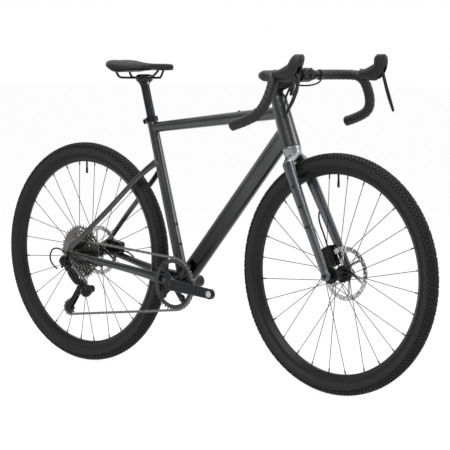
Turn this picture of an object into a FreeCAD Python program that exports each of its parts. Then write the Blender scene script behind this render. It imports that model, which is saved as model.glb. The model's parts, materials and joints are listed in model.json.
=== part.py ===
import FreeCAD, Part
import math
import os
import Sketcher

# Gravel bike in millimetres: X forward, Y to the rider's left, Z up.
# The origin is on the ground, midway between the two axles. The drive side is at -Y.

V = FreeCAD.Vector
SIZES = {
    # Layout of the frame
    "wheel_gap": 329.0, "wheelbase": "=tyre_radius + tyre_radius + wheel_gap",
    "stay_room": 80.5, "chainstay_length": "=tyre_radius + stay_room", "bb_drop": 70.0,
    "head_angle": 71.0, "seat_angle": 74.6, "crown_room": 47.5,
    "fork_length": "=tyre_radius + crown_room", "fork_rake": 50.0,
    # Running clearances
    "shaft_fit": 0.05, "weld_gap": 0.05, "seat_gap": 0.3, "overrun": 5.0,
    # Head tube and headset
    "head_tube_length": 155.0, "head_lower_radius": 29.0, "head_upper_radius": 24.0,
    "head_bore_radius": 19.0, "head_lower_bore_radius": 23.5, "crown_gap": 3.0,
    "upper_bearing_radius": 20.9, "lower_bearing_radius": 26.0, "bearing_height": 8.0,
    "steerer_radius": 14.3, "steerer_lower_radius": 20.0, "steerer_taper_length": 60.0,
    "steerer_seat_length": 14.0,
    # Top tube and down tube
    "top_tube_head_drop": 46.0, "top_tube_seat_drop": 33.0,
    "top_tube_head_depth": 19.5, "top_tube_head_width": 17.5,
    "top_tube_seat_depth": 16.0, "top_tube_seat_width": 14.5,
    "down_tube_head_drop": 106.0, "down_tube_bb_rise": 6.0,
    "down_tube_head_depth": 29.5, "down_tube_head_width": 23.0,
    "down_tube_bb_depth": 28.0, "down_tube_bb_width": 27.0, "tube_wall": 1.6,
    # Seat tube, post and collar
    "seat_tube_length": 530.0, "seat_tube_radius": 16.0, "seat_tube_base_radius": 18.0,
    "post_radius": 13.6, "post_length": 348.0, "post_rise": 112.0, "collar_wall": 4.0, "collar_height": 15.0,
    "collar_ear": 9.0, "collar_slit": 1.6,
    # Bottom bracket
    "shell_radius": 23.5, "shell_width": 68.0, "shell_bore_radius": 18.5, "cup_radius": 22.0,
    "cup_width": 10.0, "cup_sleeve_radius": 18.4, "cup_sleeve_length": 18.0, "spindle_radius": 12.0,
    # Chainstays
    "chainstay_front_side": 27.0, "chainstay_ring_back": 82.0, "chainstay_ring_side": 35.0,
    "chainstay_mid_back": 215.0, "chainstay_mid_side": 46.0, "chainstay_rear_back": 332.0,
    "chainstay_rear_side": 67.5, "chainstay_end_front": 30.0, "chainstay_end_side": 75.5,
    "chainstay_front_width": 9.0, "chainstay_front_depth": 18.0,
    "chainstay_ring_width": 6.5, "chainstay_ring_depth": 15.5,
    "chainstay_mid_width": 8.5, "chainstay_mid_depth": 12.5,
    "chainstay_rear_width": 7.5, "chainstay_rear_depth": 11.0,
    "chainstay_end_width": 5.0, "chainstay_end_depth": 11.0,
    # Seatstays
    "seatstay_drop": 142.0, "seatstay_top_side": 13.0, "seatstay_bend_back": 52.0, "seatstay_bend_side": 34.5,
    "seatstay_mid_back": 190.0, "seatstay_mid_side": 50.5,
    "seatstay_low_back": 325.0, "seatstay_low_side": 65.5,
    "seatstay_end_side": 75.5,
    "seatstay_end_rise": 30.0, "seatstay_end_front": 20.0,
    "seatstay_top_depth": 12.5, "seatstay_top_width": 9.0, "seatstay_bend_depth": 10.0,
    "seatstay_bend_width": 7.0, "seatstay_mid_depth": 9.0, "seatstay_mid_width": 6.5,
    "seatstay_low_depth": 9.0, "seatstay_low_width": 5.4,
    "seatstay_end_depth": 9.0, "seatstay_end_width": 4.6,
    # Rear dropouts, hanger and axle
    "rear_hub_width": 142.0, "dropout_thickness": 9.0, "dropout_radius": 17.0, "axle_radius": 6.0,
    "dropout_arm_depth": 11.0, "hanger_thickness": 7.0, "hanger_drop": 30.0, "hanger_back": 6.0,
    "hanger_radius": 10.0, "axle_head_radius": 9.0, "axle_head_length": 4.0,
    # Fixing bolts on the tubes
    "boss_spacing": 64.0, "boss_radius": 4.6, "boss_height": 2.2, "boss_socket_radius": 2.0,
    "boss_socket_depth": 1.4, "seat_boss_start": 120.0, "top_boss_start": 105.0, "down_boss_start": 190.0,
    "fork_boss_start": 118.0,
    "knuckle_bolt_radius": 4.0, "collar_bolt_radius": 2.5,
    # Fork
    "front_hub_width": 100.0, "crown_height_below": 26.0, "crown_foot_radius": 24.0,
    "arch_drop": 18.0, "arch_depth": 27.0, "arch_thickness": 15.0,
    "shoulder_drop": 46.0, "shoulder_front": 3.0, "shoulder_side": 36.5, "shoulder_depth": 21.5,
    "shoulder_width": 13.0, "leg_side": 43.0, "leg_depth": 19.0, "leg_width": 11.0,
    "leg_end_depth": 13.0, "leg_end_width": 7.0, "fork_eye_radius": 14.0, "fork_eye_thickness": 14.0,
    "fork_boss_lift": 0.6,
    # Stem and headset parts above the head tube
    "cover_height": 8.0, "spacer_height": 5.0, "spacer_radius": 18.0, "cap_height": 3.0, "cap_gap": 3.0,
    "stem_height": 40.0, "stem_length": 112.0, "stem_radius": 19.5,
    "stem_arm_rear_depth": 19.0, "stem_arm_rear_width": 18.0, "stem_arm_front_depth": 17.0,
    "stem_arm_front_width": 16.0, "bar_clamp_radius": 21.0, "bar_clamp_width": 46.0, "clamp_gap": 2.0,
    "clamp_bolt_rise": 10.0, "clamp_bolt_side": 16.0, "bar_centre_radius": 15.9,
    # Handlebar, tape and levers
    "bar_radius": 11.9, "bar_bulge_half": 42.0, "bar_bulge_taper": 20.0, "bar_half_width": 196.0,
    "bar_reach": 86.0, "bar_drop": 135.0, "bar_flare": 55.0, "tape_radius": 15.3, "tape_start": 74.0,
    "plug_length": 4.0, "hood_start": 60.0, "hood_reach": 83.0, "hood_rise": 61.0, "hood_lean": 3.0,
    "hood_half_width": 16.5, "hood_half_height": 21.0, "lever_pivot_front": 131.0, "lever_pivot_rise": 18.0,
    "lever_boss_radius": 7.0, "lever_half_width": 6.5, "lever_half_depth": 3.4, "lever_slot_gap": 0.8,
    "lever_slot_back": 8.0, "lever_slot_height": 46.0, "lever_pin_half": 11.0, "lever_pin_radius": 2.5,
    "lever_reach": 16.0, "lever_drop": 126.0, "lever_flare": 50.0, "hood_toe": 9.0,
    "paddle_back": 5.0, "paddle_eye_radius": 3.5,
    "paddle_eye_length": 8.0, "paddle_lean": 9.0, "paddle_drop": 62.0, "paddle_half_width": 9.5,
    "paddle_half_depth": 1.6, "paddle_room_side": 5.0, "paddle_room_back": 3.0, "paddle_room_drop": 13.0,
    # Wheels
    "rim_bed_radius": 306.0, "rim_lip": 10.0, "rim_well": 14.0, "tyre_height": 48.5,
    "tyre_radius": "=rim_bed_radius + tyre_height", "rim_outer_radius": "=rim_bed_radius + rim_lip",
    "rim_inner_radius": "=rim_bed_radius - rim_well", "tyre_half_width": 21.5, "tyre_wall": 3.0,
    "rim_half_width": 13.0, "rim_wall": 1.8,
    "rim_nose_half_width": 5.0,
    "valve_radius": 3.0, "valve_length": 38.0, "valve_cap_radius": 3.8, "valve_cap_length": 18.0,
    "spoke_count": 28, "spoke_radius": 1.0, "spoke_cross_angle": 62.0, "spoke_hole_radius": 21.5,
    "spoke_rim_offset": 2.0, "nipple_radius": 2.0, "nipple_length": 12.0,
    "flange_radius": 25.0, "flange_half": 1.6, "hub_radius": 12.5, "hub_cap_radius": 9.5, "lock_radius": 17.0,
    "lock_overhang": 3.0, "front_right_flange": 34.0, "front_left_flange": 21.0, "front_rotor_side": 36.0,
    "rear_right_flange": 19.0, "rear_left_flange": 35.0, "rear_rotor_side": 55.5,
    "rotor_radius": 80.0, "rotor_track_radius": 66.0, "rotor_thickness": 1.8, "rotor_hub_radius": 24.0,
    "rotor_arms": 6, "rotor_arm_width": 8.0, "rotor_arm_slant": 35.0, "rotor_holes": 36,
    "rotor_hole_radius": 2.2, "rotor_hole_wave": 3.2, "freehub_bore": 9.0, "freehub_start": 26.0,
    # Chain, cassette, cranks and chainring
    "chainline": 48.5, "chain_pitch": 12.7, "roller_radius": 3.8, "roller_gap": 0.15, "tip_height": 3.2,
    "tip_half": 0.8, "plate_thickness": 0.8, "plate_radius": 4.2, "plate_waist": 2.7, "plate_gap": 0.1,
    "chain_inner_half": 1.15, "chain_pin_radius": 1.8, "phase_slack": 0.02, "cog_pitch": 3.74,
    "cog_thickness": 1.6, "cog_band": 9.0, "cog_windows": 6, "freehub_radius": 17.0, "spacer_wall": 3.0,
    "lockring_thickness": 2.2, "lockring_wall": 1.5, "crank_length": 170.0, "crank_angle": 5.5,
    "crank_boss_radius": 18.5, "crank_boss_face": 73.0, "crank_root_half": 9.0,
    "crank_root_depth": 18.5, "crank_corner": 4.0,
    "crank_tip_depth": 15.5, "crank_relief": 0.5, "pedal_inner": 63.0, "pedal_face": 76.0,
    "pedal_eye_radius": 16.0, "pedal_thread_radius": 7.0, "spider_arms": 4, "spider_thickness": 4.5,
    "spider_half": 9.0, "bolt_circle": 55.0, "ring_thickness": 1.85, "ring_tab": 12.5, "ring_bore": 65.0,
    "ring_bolt_radius": 5.0, "ring_bolt_height": 1.8,
    # Rear derailleur
    "cage_pivot_front": 79.0, "cage_pivot_drop": 111.5, "guide_back": 55.0, "guide_rise": 14.5,
    "tension_back": 119.0, "tension_drop": 55.0, "cage_half": 4.5, "cage_plate": 2.0, "cage_radius": 8.5,
    "cage_pin_radius": 5.0, "cage_pin_length": 12.0, "pulley_thickness": 2.0, "pulley_hub_radius": 6.0,
    "link_top_front": 15.0, "link_top_drop": 14.0, "link_low_back": 13.0, "link_low_rise": 13.0,
    "link_outset": 7.0, "link_half": 8.0, "link_boss_radius": 6.0, "link_pin_radius": 2.5,
    "ear_thickness": 6.0, "knuckle_length": 16.0, "knuckle_radius": 13.0, "p_knuckle_radius": 12.0,
    "ferrule_length": 24.0, "ferrule_radius": 4.0,
    # Brakes and hoses
    "caliper_start": 36.0, "caliper_length": 62.0, "caliper_depth": 36.0, "caliper_inset": 11.0,
    "caliper_round": 9.0, "caliper_slot_gap": 1.0, "front_caliper_seat": 16.1, "front_caliper_outset": 17.0,
    "rear_caliper_seat": 11.1, "rear_caliper_outset": 14.0, "pad_gap": 0.35, "pad_thickness": 3.8,
    "pad_radius": 9.0, "pad_radius_place": 70.0, "hose_radius": 2.5,
    # Saddle and its clamp
    "rail_rise": 15.0, "rail_radius": 3.5, "rail_side": 22.0, "rail_half_flat": 42.0, "rail_rear_side": 30.0,
    "rail_nose_side": 9.0, "rail_rear_share": 0.12, "rail_nose_share": 0.82, "cradle_height": 13.0,
    "clamp_half_length": 20.0, "clamp_half_width": 27.0, "clamp_bolt_reach": 15.0, "seat_bolt_radius": 2.5,
    "yoke_height": 8.0, "saddle_setback": 146.0, "saddle_length": 264.0, "saddle_half_width": 71.0,
    "saddle_rise": 71.5475,
    "saddle_top":
        "=tyre_radius - bb_drop + (seat_tube_length + post_rise) * sin(seat_angle * 1 deg) + saddle_rise",
    "saddle_drop": 20.0, "saddle_depth": 34.0, "saddle_channel": 9.0, "saddle_shell": 3.0,
}

doc = FreeCAD.newDocument("GravelBike")
sheet = doc.addObject("Spreadsheet::Sheet", "Sizes")
for row, alias in enumerate(SIZES, start=1):
    sheet.set("A%d" % row, alias)
    sheet.setAlias("B%d" % row, alias)
for row, value in enumerate(SIZES.values(), start=1):
    sheet.set("B%d" % row, str(value))
doc.recompute()


class SheetValues:
    """Reads a driving dimension from the sheet by its alias."""

    def __getattr__(self, alias):
        return float(sheet.get(alias))


S = SheetValues()
nodes = []
X_AXIS = V(1, 0, 0)
Y_AXIS = V(0, 1, 0)
Z_AXIS = V(0, 0, 1)
SIDES = (-1, 1)
half_share = 0.5


def place(origin, along, side=None):
    """Placement whose local Z points along a direction and whose local X lies near side."""
    along = V(along).normalize()
    if side is None:
        side = X_AXIS if abs(along.x) < abs(along.z) + abs(along.y) else Y_AXIS
    across = along.cross(V(side)).normalize()
    side = across.cross(along)
    frame = FreeCAD.Matrix(
        side.x, across.x, along.x, origin.x,
        side.y, across.y, along.y, origin.y,
        side.z, across.z, along.z, origin.z)
    return FreeCAD.Placement(frame)


def bind(item, prop, formula):
    """Ties a property to a formula of sizes on the sheet."""
    words = ["Sizes." + word if word in SIZES else word for word in formula.split()]
    item.setExpression(prop, " ".join(words))


def node(item, label):
    """Names an object as one piece of the bike."""
    item.Label = label
    nodes.append(item)
    return item


def solid_node(label, shape):
    """A piece whose shape comes from Part's own functions."""
    item = doc.addObject("Part::Feature", label)
    item.Shape = shape
    item.Placement = shape.Placement
    return node(item, label)


def cylinder(name, radius, length, where):
    """A rod or disc with bound radius and length."""
    item = doc.addObject("Part::Cylinder", name)
    bind(item, "Radius", radius)
    bind(item, "Height", length)
    item.Placement = where
    return item


def cut(name, base, tool):
    item = doc.addObject("Part::Cut", name)
    item.Base = base
    item.Tool = tool
    return item


def fuse(name, pieces):
    item = doc.addObject("Part::MultiFuse", name)
    item.Shapes = pieces
    return item


def group(name, pieces):
    """Several separate solids that share one node."""
    item = doc.addObject("Part::Compound", name)
    item.Links = pieces
    return item


def turned(name, profile, where):
    """A lathe piece: pairs of (radius, height) formulas turned about the local Z axis."""
    body = doc.addObject("PartDesign::Body", name)
    plane = [item for item in body.Origin.OriginFeatures if item.Role == "XZ_Plane"][0]
    sketch = body.newObject("Sketcher::SketchObject", name + "_profile")
    sketch.AttachmentSupport = [(plane, "")]
    sketch.MapMode = "FlatFace"
    points = [V(measure(radius), measure(height), 0) for radius, height in profile]
    for start, end in zip(points, points[1:] + points[:1]):
        sketch.addGeometry(Part.LineSegment(start, end), False)
    for line in range(len(points)):
        sketch.addConstraint(Sketcher.Constraint("Coincident", line, 2, (line + 1) % len(points), 1))
    for line, pair in enumerate(profile):
        for kind, formula, value in zip(("DistanceX", "DistanceY"), pair, points[line]):
            number = sketch.addConstraint(Sketcher.Constraint(kind, -1, 1, line, 1, value))
            bind(sketch, "Constraints[%d]" % number, formula)
    turn = body.newObject("PartDesign::Revolution", name + "_turn")
    turn.Profile = sketch
    turn.ReferenceAxis = (sketch, ["V_Axis"])
    turn.Angle = 360.0
    body.Placement = where
    return body


def measure(formula):
    """Value of a formula written in sheet aliases: sums, differences and division by a number."""
    terms = []
    sign = 1.0
    divide = False
    for word in formula.split():
        if word in ("+", "-"):
            sign = 1.0 if word == "+" else -1.0
        elif word == "/":
            divide = True
        elif divide:
            terms[-1] /= float(word)
            divide = False
        else:
            terms.append(sign * (getattr(S, word) if word in SIZES else float(word)))
    return sum(terms)


def ellipse(name, centre, along, side, major, minor):
    """One section of a tube: its longer half axis lies near side."""
    item = doc.addObject("Part::Ellipse", name)
    bind(item, "MajorRadius", major)
    bind(item, "MinorRadius", minor)
    item.Placement = place(centre, along, side)
    return item


def loft(name, sections, straight=False):
    """A solid through sections, in straight runs or as one smooth sweep."""
    item = doc.addObject("Part::Loft", name)
    item.Sections = sections
    item.Solid = True
    item.Ruled = straight
    return item


def tube(name, stations, wall=None, straight=False):
    """A tube through elliptical stations (centre, along, side, major, minor), hollow if it has a wall."""
    sections = [ellipse("%s_section_%d" % (name, count), *station) for count, station in enumerate(stations)]
    outer = loft(name + "_outside", sections, straight)
    if wall is None:
        return outer
    inner = loft(name + "_inside", [
        ellipse("%s_bore_%d" % (name, count), centre, along, side, major + " - " + wall, minor + " - " + wall)
        for count, (centre, along, side, major, minor) in enumerate(stations)])
    return cut(name + "_hollow", outer, inner)


# Main points and directions of the bike

rear_axle = V(-S.wheelbase / 2, 0, S.tyre_radius)
front_axle = V(S.wheelbase / 2, 0, S.tyre_radius)
bb_back = math.sqrt(S.chainstay_length ** 2 - S.bb_drop ** 2)
bb = V(rear_axle.x + bb_back, 0, S.tyre_radius - S.bb_drop)
head_slope = math.radians(S.head_angle)
steer_up = V(-math.cos(head_slope), 0, math.sin(head_slope))
steer_front = V(math.sin(head_slope), 0, math.cos(head_slope))
steer_foot = front_axle - steer_front * S.fork_rake
crown_height = math.sqrt(S.fork_length ** 2 - S.fork_rake ** 2)
seat_slope = math.radians(S.seat_angle)
seat_up = V(-math.cos(seat_slope), 0, math.sin(seat_slope))
seat_front = V(math.sin(seat_slope), 0, math.cos(seat_slope))


def on_steer(height):
    """Point on the steering axis at a height above the foot of the axle's perpendicular."""
    return steer_foot + steer_up * height


head_base = crown_height + S.crown_gap
head_top = head_base + S.head_tube_length

# Head tube with its two bearing seats

head_place = place(on_steer(head_base), steer_up, steer_front)
head_tube = node(turned("head_tube", [
    ("lower_bearing_radius", "0"), ("head_lower_radius", "0"),
    ("head_upper_radius", "head_tube_length"), ("upper_bearing_radius", "head_tube_length"),
    ("upper_bearing_radius", "head_tube_length - bearing_height"),
    ("head_bore_radius", "head_tube_length - bearing_height"),
    ("head_lower_bore_radius", "bearing_height"), ("lower_bearing_radius", "bearing_height"),
], head_place), "head_tube")

upper_bearing = turned("upper_bearing", [
    ("steerer_radius + shaft_fit", "head_tube_length - bearing_height"),
    ("upper_bearing_radius - shaft_fit", "head_tube_length - bearing_height"),
    ("upper_bearing_radius - shaft_fit", "head_tube_length"),
    ("steerer_radius + shaft_fit", "head_tube_length"),
], head_place)
lower_bearing = turned("lower_bearing", [
    ("steerer_lower_radius + shaft_fit", "0"), ("lower_bearing_radius - shaft_fit", "0"),
    ("lower_bearing_radius - shaft_fit", "bearing_height"),
    ("steerer_lower_radius + shaft_fit", "bearing_height"),
], head_place)
node(group("headset_bearings", [upper_bearing, lower_bearing]), "headset_bearings")


def head_cutter(name):
    """Outside of the head tube with room for the weld, to shape the ends of the tubes that meet it."""
    return turned(name, [
        ("0", "0 - overrun"), ("head_lower_radius + weld_gap", "0 - overrun"),
        ("head_lower_radius + weld_gap", "0"),
        ("head_upper_radius + weld_gap", "head_tube_length"),
        ("head_upper_radius + weld_gap", "head_tube_length + overrun"), ("0", "head_tube_length + overrun"),
    ], head_place)


# Seat tube, open for the post down to its base

seat_place = place(bb, seat_up, seat_front)
seat_blank = turned("seat_tube_blank", [
    ("post_radius + shaft_fit", "0"), ("seat_tube_base_radius", "0"),
    ("seat_tube_radius", "seat_tube_length"), ("post_radius + shaft_fit", "seat_tube_length"),
], seat_place)
shell_place = place(bb - Y_AXIS * (S.shell_width / 2), Y_AXIS)


def shell_cutter(name):
    """Outside of the bottom bracket shell with room for the weld."""
    wide_place = place(bb - Y_AXIS * S.shell_width, Y_AXIS)
    return cylinder(name, "shell_radius + weld_gap", "shell_width + shell_width", wide_place)


def seat_cutter(name):
    """Outside of the seat tube with room for the weld."""
    return turned(name, [
        ("0", "0"), ("seat_tube_base_radius + weld_gap", "0"),
        ("seat_tube_radius + weld_gap", "seat_tube_length"), ("0", "seat_tube_length"),
    ], seat_place)


node(cut("seat_tube", seat_blank, shell_cutter("seat_tube_mitre")), "seat_tube")

# Bottom bracket shell and its bearing cups

shell_rod = cylinder("shell_rod", "shell_radius", "shell_width", shell_place)
shell_bore = cylinder("shell_bore", "shell_bore_radius", "shell_width", shell_place)
node(cut("bottom_bracket_shell", shell_rod, shell_bore), "bottom_bracket_shell")
cups = []
for side in SIDES:
    cups.append(turned("bottom_bracket_cup_%d" % len(cups), [
        ("spindle_radius + shaft_fit", "0 - cup_sleeve_length"),
        ("cup_sleeve_radius", "0 - cup_sleeve_length"),
        ("cup_sleeve_radius", "0"), ("cup_radius", "0"), ("cup_radius", "cup_width"),
        ("spindle_radius + shaft_fit", "cup_width"),
    ], place(bb + Y_AXIS * (side * S.shell_width / 2), Y_AXIS * side)))
node(group("bottom_bracket_cups", cups), "bottom_bracket_cups")

# Top tube from the seat tube to the head tube

top_front = on_steer(head_top - S.top_tube_head_drop)
top_rear = bb + seat_up * (S.seat_tube_length - S.top_tube_seat_drop)
top_along = (top_front - top_rear).normalize()
top_up = V(-top_along.z, 0, top_along.x)
top_blank = tube("top_tube", [
    (top_rear, top_along, top_up, "top_tube_seat_depth", "top_tube_seat_width"),
    (top_front, top_along, top_up, "top_tube_head_depth", "top_tube_head_width"),
], "tube_wall")
node(cut("top_tube", cut("top_tube_rear_end", top_blank, seat_cutter("top_tube_seat_mitre")),
         head_cutter("top_tube_head_mitre")), "top_tube")

# Down tube from the bottom bracket to the head tube

down_front = on_steer(head_top - S.down_tube_head_drop)
down_rear = bb + Z_AXIS * S.down_tube_bb_rise
down_along = (down_front - down_rear).normalize()
down_up = V(-down_along.z, 0, down_along.x)
down_blank = tube("down_tube", [
    (down_rear, down_along, down_up, "down_tube_bb_depth", "down_tube_bb_width"),
    (down_front, down_along, down_up, "down_tube_head_depth", "down_tube_head_width"),
], "tube_wall")
top_envelope = tube("down_tube_top_mitre", [
    (top_rear, top_along, top_up, "top_tube_seat_depth + weld_gap", "top_tube_seat_width + weld_gap"),
    (top_front, top_along, top_up, "top_tube_head_depth + weld_gap", "top_tube_head_width + weld_gap"),
])
down_mitres = fuse("down_tube_mitres", [
    shell_cutter("down_tube_shell_mitre"), seat_cutter("down_tube_seat_mitre"),
    head_cutter("down_tube_head_mitre"), top_envelope])
node(cut("down_tube", down_blank, down_mitres), "down_tube")

# Chainstays and seatstays, a pair each, ending in the dropouts

stay_along = (bb - rear_axle).normalize()
stay_up = V(-stay_along.z, 0, stay_along.x)
chainstay_stations = (
    (0.0, "front"), (S.chainstay_ring_back, "ring"), (S.chainstay_mid_back, "mid"),
    (S.chainstay_rear_back, "rear"), (S.chainstay_length - S.chainstay_end_front, "end"))
chainstays = []
for side in SIDES:
    stations = []
    for back, word in chainstay_stations:
        centre = bb - stay_along * back
        centre.y = side * getattr(S, "chainstay_%s_side" % word)
        depth, width = "chainstay_%s_depth" % word, "chainstay_%s_width" % word
        stations.append((centre, stay_along * -1, stay_up, depth, width))
    name = "chainstay_%d" % len(chainstays)
    chainstays.append(cut(name, tube(name, stations), shell_cutter(name + "_mitre")))
node(group("chainstays", chainstays), "chainstays")

seatstay_top = bb + seat_up * (S.seat_tube_length - S.seatstay_drop)
seatstay_end = rear_axle + V(S.seatstay_end_front, 0, S.seatstay_end_rise)
seatstay_along = (seatstay_end - seatstay_top).normalize()
seatstay_up = V(-seatstay_along.z, 0, seatstay_along.x) * -1
seatstay_length = (seatstay_end - seatstay_top).Length
seatstay_stations = (
    (0.0, "top"), (S.seatstay_bend_back, "bend"), (S.seatstay_mid_back, "mid"),
    (S.seatstay_low_back, "low"), (seatstay_length, "end"))
seatstays = []
for side in SIDES:
    stations = []
    for back, word in seatstay_stations:
        centre = seatstay_top + seatstay_along * back
        centre.y = side * getattr(S, "seatstay_%s_side" % word)
        stations.append(
            (centre, seatstay_along, seatstay_up, "seatstay_%s_depth" % word, "seatstay_%s_width" % word))
    name = "seatstay_%d" % len(seatstays)
    seatstays.append(cut(name, tube(name, stations), seat_cutter(name + "_mitre")))
node(group("seatstays", seatstays), "seatstays")

# Rear dropouts with the bolted derailleur hanger, and the rear thru-axle

rear_face = S.rear_hub_width / 2


def across(point, offset):
    """The same point seen from the side, moved to an offset along Y."""
    return V(point.x, offset, point.z)


def arm(name, start, end, depth, thickness, near_face):
    """A flat bar between two points seen from the side, growing outward from its inner face."""
    item = doc.addObject("Part::Box", name)
    along = end - start
    bind(item, "Length", thickness)
    bind(item, "Width", depth + " + " + depth)
    item.Height = along.Length
    rise = V(-along.z, 0, along.x).normalize()
    outward = 1 if near_face > 0 else -1
    corner = across(start, near_face) - rise * (measure(depth) * outward)
    item.Placement = place(corner, along, Y_AXIS * outward)
    return item


dropouts = []
for side in SIDES:
    name = "dropout_%d" % len(dropouts)
    face = side * rear_face
    chainstay_end = rear_axle + stay_along * (S.chainstay_end_front - S.weld_gap)
    seatstay_stop = seatstay_end + seatstay_along * S.seat_gap
    seatstay_root = seatstay_end + seatstay_along * S.seatstay_end_rise
    eye_place = place(across(rear_axle, face), Y_AXIS * side)
    eye = cylinder(name + "_eye", "dropout_radius", "dropout_thickness", eye_place)
    low = arm(name + "_low", rear_axle, chainstay_end, "dropout_arm_depth", "dropout_thickness", face)
    high = arm(name + "_high", seatstay_root, seatstay_stop, "seatstay_end_depth", "dropout_thickness", face)
    bore = cylinder(name + "_bore", "axle_radius + shaft_fit", "dropout_thickness", eye.Placement)
    dropouts.append(cut(name, fuse(name + "_plate", [eye, low, high]), bore))

hanger_face = -rear_face - S.dropout_thickness
hanger_eye = rear_axle + V(-S.hanger_back, 0, -S.hanger_drop)
hanger_top_place = place(across(rear_axle, hanger_face), Y_AXIS * -1)
hanger_eye_place = place(across(hanger_eye, hanger_face), Y_AXIS * -1)
hanger_plate = fuse("hanger_plate", [
    cylinder("hanger_top", "hanger_radius", "hanger_thickness", hanger_top_place),
    cylinder("hanger_eye", "hanger_radius", "hanger_thickness", hanger_eye_place),
    arm("hanger_web", rear_axle, hanger_eye, "hanger_radius", "hanger_thickness", hanger_face)])
hanger_bores = fuse("hanger_bores", [
    cylinder("hanger_axle_bore", "axle_radius + shaft_fit", "hanger_thickness", hanger_top_place),
    cylinder("hanger_bolt_bore", "knuckle_bolt_radius + shaft_fit", "hanger_thickness", hanger_eye_place)])
node(group("dropouts", dropouts + [cut("derailleur_hanger", hanger_plate, hanger_bores)]), "dropouts")

rear_axle_head = rear_face + S.dropout_thickness
node(turned("rear_axle", [
    ("0", "0"), ("axle_head_radius", "0"), ("axle_head_radius", "axle_head_length"),
    ("axle_radius", "axle_head_length"),
    ("axle_radius",
     "axle_head_length + rear_hub_width + dropout_thickness + dropout_thickness + hanger_thickness"),
    ("0", "axle_head_length + rear_hub_width + dropout_thickness + dropout_thickness + hanger_thickness"),
], place(across(rear_axle, rear_axle_head + S.axle_head_length), Y_AXIS * -1)), "rear_axle")

# Seat collar: a slit ring with two ears and a bolt behind the seat tube

collar_base = bb + seat_up * (S.seat_tube_length - S.collar_height)
collar_place = place(collar_base, seat_up, seat_front)
collar_radius = "seat_tube_radius + shaft_fit + shaft_fit"
collar_ring = cylinder("collar_ring", collar_radius + " + collar_wall", "collar_height", collar_place)
collar_ears = doc.addObject("Part::Box", "collar_ears")
bind(collar_ears, "Length", collar_radius + " + collar_wall + collar_ear")
bind(collar_ears, "Width", "collar_ear + collar_ear")
bind(collar_ears, "Height", "collar_height")
collar_ears.Placement = place(collar_base + Y_AXIS * S.collar_ear, seat_up, seat_front * -1)
collar_bore = cylinder("collar_bore", collar_radius, "collar_height", collar_place)
collar_slit = doc.addObject("Part::Box", "collar_slit")
bind(collar_slit, "Length", collar_radius + " + collar_wall + collar_ear")
bind(collar_slit, "Width", "collar_slit")
bind(collar_slit, "Height", "collar_height")
collar_slit.Placement = place(collar_base + Y_AXIS * (S.collar_slit / 2), seat_up, seat_front * -1)
bolt_centre = collar_base + seat_up * (S.collar_height / 2) - seat_front * (
    S.seat_tube_radius + S.collar_wall + S.collar_ear / 2)
collar_bolt_place = place(bolt_centre - Y_AXIS * (S.collar_ear + S.boss_height), Y_AXIS)
collar_hole = cylinder("collar_hole", "collar_bolt_radius + shaft_fit", "collar_ear + collar_ear + overrun",
                       collar_bolt_place)
collar_bolt = fuse("collar_bolt", [
    cylinder("collar_bolt_shank", "collar_bolt_radius", "collar_ear + collar_ear", collar_bolt_place),
    cylinder("collar_bolt_head", "boss_radius", "boss_height - weld_gap", collar_bolt_place)])
collar_cuts = fuse("collar_cuts", [collar_bore, collar_slit, collar_hole])
collar = cut("collar_body", fuse("collar_blank", [collar_ring, collar_ears]), collar_cuts)
node(group("seat_collar", [collar, collar_bolt]), "seat_collar")

# Socket-head bolts on the tubes, two on each of three tubes


def boss_bolt(name, base, outward):
    """A round bolt head with its socket, seated on a surface."""
    head = cylinder(name + "_head", "boss_radius", "boss_height", place(base, outward))
    top = base + V(outward).normalize() * (S.boss_height - S.boss_socket_depth)
    socket = cylinder(name + "_socket", "boss_socket_radius", "boss_height", place(top, outward))
    return cut(name, head, socket)


frame_bolts = []
for count in range(2):
    step = count * S.boss_spacing
    reach = S.seat_boss_start + step
    taper = reach / S.seat_tube_length
    radius = S.seat_tube_base_radius + (S.seat_tube_radius - S.seat_tube_base_radius) * taper
    frame_bolts.append(boss_bolt(
        "seat_bolt_%d" % count, bb + seat_up * reach + seat_front * (radius + S.weld_gap), seat_front))
    reach = S.top_boss_start + step
    taper = reach / (top_front - top_rear).Length
    depth = S.top_tube_head_depth + (S.top_tube_seat_depth - S.top_tube_head_depth) * taper
    frame_bolts.append(boss_bolt(
        "top_bolt_%d" % count, top_front - top_along * reach + top_up * (depth + S.weld_gap), top_up))
    reach = S.down_boss_start + step
    taper = reach / (down_front - down_rear).Length
    depth = S.down_tube_bb_depth + (S.down_tube_head_depth - S.down_tube_bb_depth) * taper
    frame_bolts.append(boss_bolt(
        "down_bolt_%d" % count, down_rear + down_along * reach + down_up * (depth + S.weld_gap), down_up))
node(group("frame_bolts", frame_bolts), "frame_bolts")

# Fork: steerer, crown and two straight legs ending in the axle eyes

crown_place = place(on_steer(crown_height), steer_up, steer_front)
steerer_top = "crown_gap + head_tube_length + cover_height + spacer_height + stem_height - cap_gap"
steerer = turned("steerer", [
    ("0", "0 - crown_height_below"), ("crown_foot_radius", "0 - crown_height_below"),
    ("head_lower_radius", "0 - crown_gap"), ("head_lower_radius", "crown_gap - seat_gap"),
    ("steerer_lower_radius", "crown_gap - seat_gap"),
    ("steerer_lower_radius", "crown_gap + steerer_seat_length"),
    ("steerer_radius", "crown_gap + steerer_seat_length + steerer_taper_length"),
    ("steerer_radius", steerer_top), ("0", steerer_top),
], crown_place)
fork_width = S.front_hub_width / 2
eye_side = fork_width + S.fork_eye_thickness / 2


def on_leg(below, forward, side):
    """Point on a fork leg: below the crown along the steering axis, forward of it, and to a side."""
    point = on_steer(crown_height - below) + steer_front * forward
    return across(point, side)


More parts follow.
